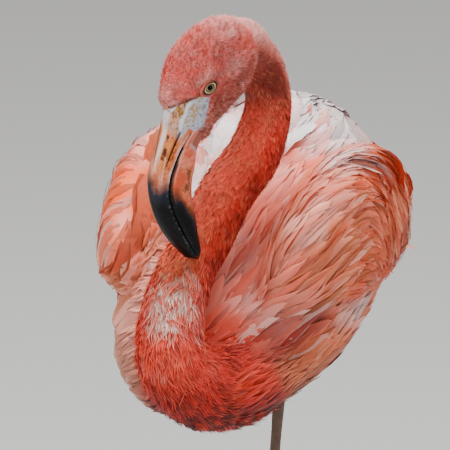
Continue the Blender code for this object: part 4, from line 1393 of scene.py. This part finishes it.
def barb_group():
    """Colour, roughness and height of a vane: barbs slanting off a thin shaft."""
    board, given = pattern_board("feather barbs", BARB_NUMBERS)
    maths = board.maths
    chart = board.node("ShaderNodeUVMap", uv_map="strand")
    x, along, _ = board.node("ShaderNodeSeparateXYZ", {0: chart.outputs[0]}).outputs
    across = maths("MULTIPLY", maths("ABSOLUTE", maths("SUBTRACT", x, 0.5)), 2.0)
    slant = maths("SUBTRACT", along, maths("MULTIPLY", across, 0.16))
    where = board.node("ShaderNodeCombineXYZ", {
        0: maths("MULTIPLY", slant, given["Barb Count"]), 1: maths("MULTIPLY", x, 2.5),
        2: maths("MULTIPLY", board.attribute("chance", "Fac"), 91.0)})
    barbs = board.node("ShaderNodeTexNoise", {
        "Scale": 1.0, "Detail": 2.0, "Vector": where.outputs[0]}).outputs[0]
    signed = maths("MULTIPLY", maths("SUBTRACT", barbs, 0.5), 2.0)
    root = maths("MULTIPLY", maths("SUBTRACT", 1.0, along), given["Root Shade"])
    stripes = maths("MULTIPLY", signed, given["Barb Strength"])
    shaft = maths("MULTIPLY", maths("LESS_THAN", across, 0.045), given["Shaft"])
    gain = maths("SUBTRACT", maths("ADD", maths("SUBTRACT", 1.0, root), stripes), shaft)
    tip = board.node("ShaderNodeMix", {
        0: maths("MULTIPLY", maths("POWER", along, 3.0), given["Pale Tip"]),
        6: board.scaled(board.attribute("tint", "Color"), gain), 7: PALE_TIP}, data_type="RGBA")
    board.node("NodeGroupOutput", {
        "Color": tip.outputs[2], "Roughness": maths("ADD", 0.62, maths("MULTIPLY", signed, 0.15)),
        "Height": barbs})
    return board.tree


def grain_group():
    """A surface's own tint with fine mottling and a height to go with it."""
    board, given = pattern_board("tinted grain", GRAIN_NUMBERS)
    place = board.node("ShaderNodeTexCoord").outputs["Object"]
    grain = board.node("ShaderNodeTexNoise", {
        "Detail": 5.0, "Vector": place, "Scale": given["Grain Size"]}).outputs[0]
    level = board.maths("MULTIPLY_ADD", given["Grain Strength"], -0.5, 1.0)
    gain = board.maths("MULTIPLY_ADD", grain, given["Grain Strength"], level)
    rough = board.node("ShaderNodeMapRange", {
        "Value": grain, "To Min": given["Roughness Low"], "To Max": given["Roughness High"]})
    board.node("NodeGroupOutput", {
        "Color": board.scaled(board.attribute("tint", "Color"), gain),
        "Roughness": rough.outputs[0], "Height": grain})
    return board.tree


def patterned(name, group, numbers, bump_strength, bump_depth, plain):
    """Material with colour, roughness and bump from a group, and plain values on its own sockets."""
    made = bpy.data.materials.new(name)
    made.use_nodes = True
    board = Board(made.node_tree)
    pattern = board.node("ShaderNodeGroup", node_tree=group)
    for label, value in numbers.items():
        board.feed(pattern.inputs[label], value)
    bump = board.node("ShaderNodeBump", {"Strength": bump_strength, "Distance": bump_depth * MM,
                                         "Height": pattern.outputs["Height"]})
    feeds = {"Base Color": pattern.outputs["Color"], "Roughness": pattern.outputs["Roughness"],
             "Normal": bump.outputs[0], **plain}
    for label, value in feeds.items():
        board.feed(board.nodes["Principled BSDF"].inputs[label], value)
    return made


def plumage(name, *numbers, gloss=0.2):
    """Feather material; the numbers are those of BARB_NUMBERS, in order."""
    plain = {"Specular IOR Level": gloss, "Sheen Weight": 0.05, "Sheen Roughness": 0.5}
    return patterned(name, BARBS, dict(zip(BARB_NUMBERS, numbers)), 0.35, 0.2, plain)


def surface(name, *numbers, bump_depth, gloss=0.5):
    """Skin, horn or eye material; the numbers are those of GRAIN_NUMBERS, in order."""
    plain = {"Specular IOR Level": gloss}
    return patterned(name, GRAIN, dict(zip(GRAIN_NUMBERS, numbers)), 0.5, bump_depth, plain)


BARBS, GRAIN = barb_group(), grain_group()
FUZZ = plumage("head fuzz", 3.0, 0.20, 0.0, 0.40, 0.22)
HAIRY = plumage("neck strands", 4.0, 0.25, 0.0, 0.50, 0.06)
DOWNY = plumage("breast strands", 5.0, 0.25, 0.0, 0.60, 0.08)
SOFT = plumage("soft feathers", 44.0, 0.18, 0.10, 0.35, 0.0)
COVERT = plumage("wing coverts", 70.0, 0.20, 0.16, 0.26, 0.0)
BLACK = plumage("flight feathers", 60.0, 0.30, 0.15, 0.20, 0.0, gloss=0.4)
HIDE = surface("skin", 700.0, 0.25, 0.5, 0.7, bump_depth=0.15, gloss=0.3)
HORN = surface("bill horn", 1100.0, 0.16, 0.26, 0.46, bump_depth=0.08, gloss=0.14)
EYE = surface("wet eye", 2600.0, 0.12, 0.10, 0.14, bump_depth=0.0, gloss=0.10)
CLAW = surface("claw horn", 1500.0, 0.2, 0.3, 0.45, bump_depth=0.06)


# ---------------------------------------------------------------- claws, tail and flight feathers
UPRIGHT = np.array([0, 0, 1.0])
MIDDLE_TOE, SIDE_TOE, CLAW_LENGTH, CLAW_RINGS = 84, 76, 9, 12
TAIL_COUNT, PRIMARY_COUNT, QUILL_STEPS = 15, 9, 9


def claws(name, ankle, roll, spread, width):
    """Small hooked cones on the three toes of a foot rolled about X, lengths in millimetres."""
    cos, sin = math.cos(math.radians(roll)), math.sin(math.radians(roll))
    rolled = np.array([[1, 0, 0], [0, cos, sin], [0, -sin, cos]])
    s = np.linspace(0, 1, CLAW_RINGS)
    radius = (width * (1 - s ** 1.6) + 0.05)[:, None, None]
    angle = ring(CLAW_RINGS)[None, :, None]
    hooks = []
    for turn, toe in ((-spread, SIDE_TOE), (0, MIDDLE_TOE), (spread, SIDE_TOE)):
        t = math.radians(turn)
        ahead = np.array([math.sin(t), -math.cos(t), 0])
        side = np.array([math.cos(t), math.sin(t), 0])
        middle = (ahead * (toe - 5) + ahead * CLAW_LENGTH * s[:, None]
                  + UPRIGHT * (3.4 - 2.6 * s[:, None] ** 2))
        rings = (middle[:, None] + side * np.cos(angle) * radius
                 + UPRIGHT * np.sin(angle) * 0.8 * radius)
        start, end = (np.broadcast_to(p, rings[0].shape)[None] for p in (middle[0], middle[-1]))
        hooks.append(np.concatenate((start, rings, end)))
    points = (np.array(hooks) @ rolled + np.array(ankle)) * MM
    rows, columns = points.shape[1:3]
    one = grid_quads(rows, columns, True)
    quads = np.concatenate([one + i * rows * columns for i in range(len(points))])
    mesh = quad_mesh(name, points.reshape(-1, 3), quads)
    store(mesh, "tint", np.tile(paint(38, 28, 24), (points.size // 3, 1)), "FLOAT_COLOR")
    mesh.materials.append(CLAW)
    return weld(finish_object(name, mesh))


def straight_feathers(name, roots, heading, normal, reach, droop, width, colour, seed, **form):
    """Feathers that leave the body straight and bend down evenly; roots in millimetres."""
    s = np.linspace(0, 1, QUILL_STEPS + 1)[None, :, None]
    roots = (np.stack(np.broadcast_arrays(*roots), -1) + SHIFT) * MM
    heading, normal = (unit(np.stack(np.broadcast_arrays(*v), -1)) for v in (heading, normal))
    reach = (reach * MM)[:, None, None]
    spines = roots[:, None] + heading[:, None] * reach * s - UPRIGHT * droop * reach * s ** 2
    normals = along_surface(np.repeat(normal[:, None], QUILL_STEPS + 1, 1),
                            unit(np.gradient(spines, axis=1)))
    tint = np.tile(colour, (len(roots), QUILL_STEPS + 1, 1))
    return vanes(name, spines, normals, np.full(len(roots), width * MM), tint, seed=seed, columns=7, **form)


def tail_feathers():
    """Short pink tail with orange tips, spread like a fan."""
    share = np.linspace(-1, 1, TAIL_COUNT)
    order = 1 - np.abs(share)
    return straight_feathers(
        "tail_feathers", (22 * share, 186, 628 + 6 * order), (0.10 * share, 1, -0.42), (0.5 * share, 0.3, 1),
        118 + 14 * order, 0.06, 21, PALE_PINK, 61, finish=COVERT, rag=0.15, roll=0.1, tip_lift=2.0,
        blunt=4.0, tip_colour=ORANGE)


def flight_feathers(name, side):
    """Black primaries stacked on edge, their tips past the end of the folded wing."""
    share = np.linspace(-1, 1, PRIMARY_COUNT)
    return straight_feathers(
        name, (side * (34 - 5 * share), 150 + 10 * share, 650 + 15 * share),
        (-side * (0.13 + 0.02 * share), 1, -0.22 - 0.10 * share), (side, 0.1, 0.3 + 0 * share),
        140 - 8 * share, 0.05, 17, paint(34, 30, 32), 62, finish=BLACK, rag=0.1, roll=0.08, tip_lift=1.5,
        blunt=3.0)


# ---------------------------------------------------------------- skin and coat
SIDES = {"left": 1, "right": -1}
skin = finish_object("skin", body_skin())
legs = make_legs()
ground = Ground(skin.data)
q = to_head(ground.points)
trunk, neck, head, wing = ground.share.T
x, y, z = ground.points.T
tree = planting_tree()
coat = []

# short fuzz of the face and crown
ahead, _, above = q.T
near_eye = np.hypot(ahead / 1.3, above / np.where(above > 0, 0.74, 1)) / 4.8
bill_edge = 36 + 16 * ease(above, -28, -34)
fuzzy = (ease(head, 0.3, 0.7) * (1 - lore_share(q)) * ease(near_eye, 0.9, 1.1)
         * ease(ahead, bill_edge + 1, bill_edge - 2))
fuzz = blade("fuzz tuft", 3, 0.15, 0.5, 0.30, 1)
plant("head_feathers", fuzz, FUZZ, "head_plumage", fuzzy,
      2.6 + 1.8 * ease(ahead, 20, -20) - 0.6 * ease(near_eye, 3, 1), per_metre=640000, stand=0.65,
      swing=0.4, spread=0.35, seed=3, shades=(0.55, 1.42), stray=(HEAD_PALE, 0.2, 0.7))

# fine strands of the neck
turn = ground.neck_t
feathered = ease(neck, 0.25, 0.6)
hair = blade("neck tuft", 3, 0.10, 0.34, 0.20, 2)
plant("high_neck_feathers", hair, HAIRY, "neck_plumage", feathered * ease(turn, 8.9, 9.1), 6.0 + 0 * turn,
      per_metre=480000, stand=0.22, swing=0.2, spread=0.3, seed=4, shades=(0.66, 1.25),
      stray=(PEACH, 0.12, 0.5))
plant("middle_neck_feathers", hair, HAIRY, "neck_plumage",
      feathered * ease(turn, 9.1, 8.9) * ease(turn, 5.3, 5.9), 7.0 + 1.5 * ease(turn, 8, 6),
      per_metre=400000, stand=0.22, swing=0.2, spread=0.3, seed=5, shades=(0.66, 1.25),
      stray=(PEACH, 0.12, 0.5))
long_hair = blade("long tuft", 3, 0.07, 0.30, 0.09, 3)
plant("lower_neck_feathers", long_hair, DOWNY, "neck_plumage", feathered * ease(turn, 5.9, 5.3),
      11 + 4 * ease(turn, 4, 1), per_metre=230000, stand=0.14, swing=0.22, spread=0.35, seed=6,
      shades=(0.5, 1.4), stray=(SCARLET, 0.42, 1.0))
for tuft in (fuzz, hair, long_hair):
    bpy.data.objects.remove(tuft)

# long feathers: name, where, spacing, seed, lengths, widths, finish, slot; palettes as colour, odds, most
top = ease(z, 0.665, 0.70)
low = trunk * (1 - top)
front = breast_share(ground.points)
crown = ease(z - wing_roof(y), -0.004, 0.006) * ease(x, 0, 0.02)
lay("back_feathers", trunk * top + wing * crown, 11, 21, (80, 115), (32, 46), SOFT, "body_plumage",
    steps=12, columns=9, swing=0.05, stiff=0.0, root_lift=0.3, tip_lift=1.2, blunt=4, rag=0.03,
    camber=0.08, roll=0.03, split=0.004, curve=0.03)
lay("breast_feathers", low * front, 4.4, 22, (30, 54), (3, 7), DOWNY, "body_plumage",
    steps=7, columns=3, swing=0.12, root_lift=0, tip_lift=3, blunt=1.7, rag=0.15, shades=(0.55, 1.3))
lay("flank_feathers", low * (1 - front) * ease(x, -0.035, -0.02), 7.5, 23, (50, 90), (11, 19), SOFT,
    "body_plumage", steps=9, swing=0.09, root_lift=0, tip_lift=4, blunt=2.4, rag=0.08,
    shades=(0.75, 1.15), camber=0.15, roll=0.06,
    palette=((PALE_PINK, 0.15, 0.6), (ORANGE, 0.2, 0.6), (TAN, 0.12, 0.6)))
lay("right_flank_feathers", low * ease(x, -0.012, -0.03) * (1 - front), 10, 27, (42, 68), (18, 27), SOFT,
    "body_plumage", steps=9, columns=7, swing=0.08, root_lift=0, tip_lift=5, blunt=5, rag=0.03,
    shades=(0.75, 1.15), camber=0.25, roll=0.05, palette=((PALE_PINK, 0.2, 0.6), (TAN, 0.25, 0.7)),
    tip_colour=CREAM, tip_share=0.3)
drenched = neck * near(ground.points, (8, -226, 684), (26, 40, 32))
lay("wet_strands", drenched, 4.2, 28, (14, 36), (0.9, 2.2), DOWNY, "neck_plumage", steps=8, columns=3,
    swing=0.45, root_lift=0, tip_lift=3, blunt=1.5, rag=0.1, shades=(0.6, 1.15), split=0.0,
    palette=((SCARLET, 1.0, 1.0), (CORAL, 0.7, 1.0)))
beside = ease(line_gap(ground.points, (38, -160, 650), (34, -25, 742)), 40, 15)
lay("neck_side_feathers", trunk * beside, 6.5, 24, (46, 76), (9, 15), SOFT, "body_plumage",
    steps=9, swing=0.07, root_lift=1, tip_lift=5, blunt=2.2, rag=0.08, camber=0.15, roll=0.06,
    palette=((PINK, 0.4, 0.8), (CORAL, 0.25, 0.6), (PALE_PINK, 0.15, 0.6)))

# side, seed, soft feathers' spacing, lengths, widths and stiffness, spacing of the wisps
rear = ease(y, -0.10, -0.04)
for word, seed, spacing, long, wide, stiff, wisps in (
        ("left", 31, 8, (56, 96), (13, 22), 0.15, 11),
        ("right", 41, 5.8, (46, 72), (9, 15), 0.0, 16)):
    side = SIDES[word]
    own = wing * (x * side > 0) * (1 - crown * (side > 0))
    lay(f"{word}_wing_softs", own * (1 - rear), spacing, seed, long, wide, SOFT, "wing_plumage",
        steps=10, columns=7, root_lift=0, tip_lift=3.5, blunt=2.4, rag=0.07, swing=0.07, camber=0.2,
        stiff=stiff, roll=0.06, palette=((PALE_PINK, 0.25, 0.6), (VIVID, 0.2, 0.5), (PINK, 0.3, 0.7)),
        tip_colour=CREAM, tip_share=0.25)
    lay(f"{word}_wing_coverts", own * rear, 7.8, seed + 1, (84, 130), (12, 19), COVERT, "wing_plumage",
        steps=12, root_lift=0, tip_lift=2.5, blunt=2.2, rag=0.04, swing=0.05, stiff=0.0, split=0.012,
        camber=0.2, roll=0.07, palette=((PEACH, 0.3, 0.7), (RUST, 0.15, 0.4)), tip_colour=CREAM,
        tip_share=0.35)
    lay(f"{word}_wing_wisps", own, wisps, seed + 2, (50, 90), (1.6, 3.2), SOFT, "wing_plumage",
        steps=8, columns=3, root_lift=2, tip_lift=6, blunt=1.5, rag=0.1, swing=0.12,
        shades=(0.7, 1.1), split=0.0, palette=((TAN, 0.6, 0.9),))

# ---------------------------------------------------------------- the bird's pieces
skin.data.materials.append(HIDE)
for extra in (legs, eyelids(1), eyelids(-1)):
    extra.data.materials.append(HIDE)
    join(skin, extra)
for label in ("lie", "neck_t", *PARTS):
    skin.data.attributes.remove(skin.data.attributes[label])

pieces = [(skin, "body_plumage", FLESH + BARE)]
for name, node in (("upper_bill", "bill_upper"), ("lower_bill", "bill_lower")):
    made = bill_half(name, name == "upper_bill")
    made.data.materials.append(HORN)
    pieces.append((made, "bill_horn", [node]))
for word, side in SIDES.items():
    made = eyeball("eyeball_" + word, side)
    made.data.materials.append(EYE)
    pieces.append((made, "eye_iris", ["eye_" + word]))
    quills = flight_feathers("flight_feathers_" + word, side)
    pieces.append((quills, "flight_feathers", ["wing_tip_" + word]))
pieces.append((tail_feathers(), "wing_plumage", ["tail"]))
pieces.append((claws("claws_left", (0, 29, 0), 0, 27, 2.0), "leg_skin", []))
pieces.append((claws("claws_right", (-36, -46, 518.6), 175, 17, 1.6), "leg_skin", []))
pieces += [(made, slot, []) for made, slot in coat]
for made, slot, nodes in pieces:
    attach(made, "root")
    if nodes:
        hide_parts(*nodes)

# ---------------------------------------------------------------- floor, light and camera
FLOOR_HALF = 20
floor_mesh = bpy.data.meshes.new("floor")
floor_mesh.from_pydata([(i * FLOOR_HALF, j * FLOOR_HALF, 0) for i, j in ((-1, -1), (1, -1), (1, 1), (-1, 1))],
                       [], [(0, 1, 2, 3)])
floor = finish_object("floor", floor_mesh)
paper = bpy.data.materials.new("pale floor")
paper.use_nodes = True
paper.node_tree.nodes["Principled BSDF"].inputs["Base Color"].default_value = (0.70, 0.70, 0.70, 1)
paper.node_tree.nodes["Principled BSDF"].inputs["Roughness"].default_value = 0.9
floor_mesh.materials.append(paper)

world = bpy.data.worlds.new("studio")
world.use_nodes = True
world.node_tree.nodes["Background"].inputs["Color"].default_value = (1.0, 0.98, 0.96, 1)
world.node_tree.nodes["Background"].inputs["Strength"].default_value = 0.44
bpy.context.scene.world = world

TARGET = Vector((-0.020, -0.028, 0.677))
VIEW_ROUND, VIEW_UP, VIEW_REACH, VIEW_WIDTH = math.radians(20), math.radians(18), 4.5, 0.3555
SENSOR = 36
# name, place, size, watts, colour
LAMPS = [
    ("overhead", (0.1, 0.1, 2.9), 1.3, 84, (1.0, 0.99, 0.97)),
    ("window", (-1.3, -1.9, 2.1), 1.2, 54, (1.0, 0.98, 0.95)),
    ("fill", (1.9, -1.4, 1.2), 1.5, 16, (1.0, 0.98, 0.96)),
]


def aim(data, place):
    """A lamp or camera in the scene, looking at the target."""
    made = finish_object(data.name, data)
    made.location = place
    made.rotation_euler = (TARGET - Vector(place)).to_track_quat("-Z", "Y").to_euler()
    return made


for name, place, size, watts, colour in LAMPS:
    light = bpy.data.lights.new(name, "AREA")
    light.size, light.energy, light.color = size, watts, colour
    aim(light, place)

lens = bpy.data.cameras.new("camera")
lens.sensor_width = SENSOR
lens.lens = SENSOR * VIEW_REACH / VIEW_WIDTH
lens.clip_end = 100
toward = Vector((math.sin(VIEW_ROUND) * math.cos(VIEW_UP), -math.cos(VIEW_ROUND) * math.cos(VIEW_UP),
                 math.sin(VIEW_UP)))
bpy.context.scene.camera = aim(lens, TARGET + toward * VIEW_REACH)
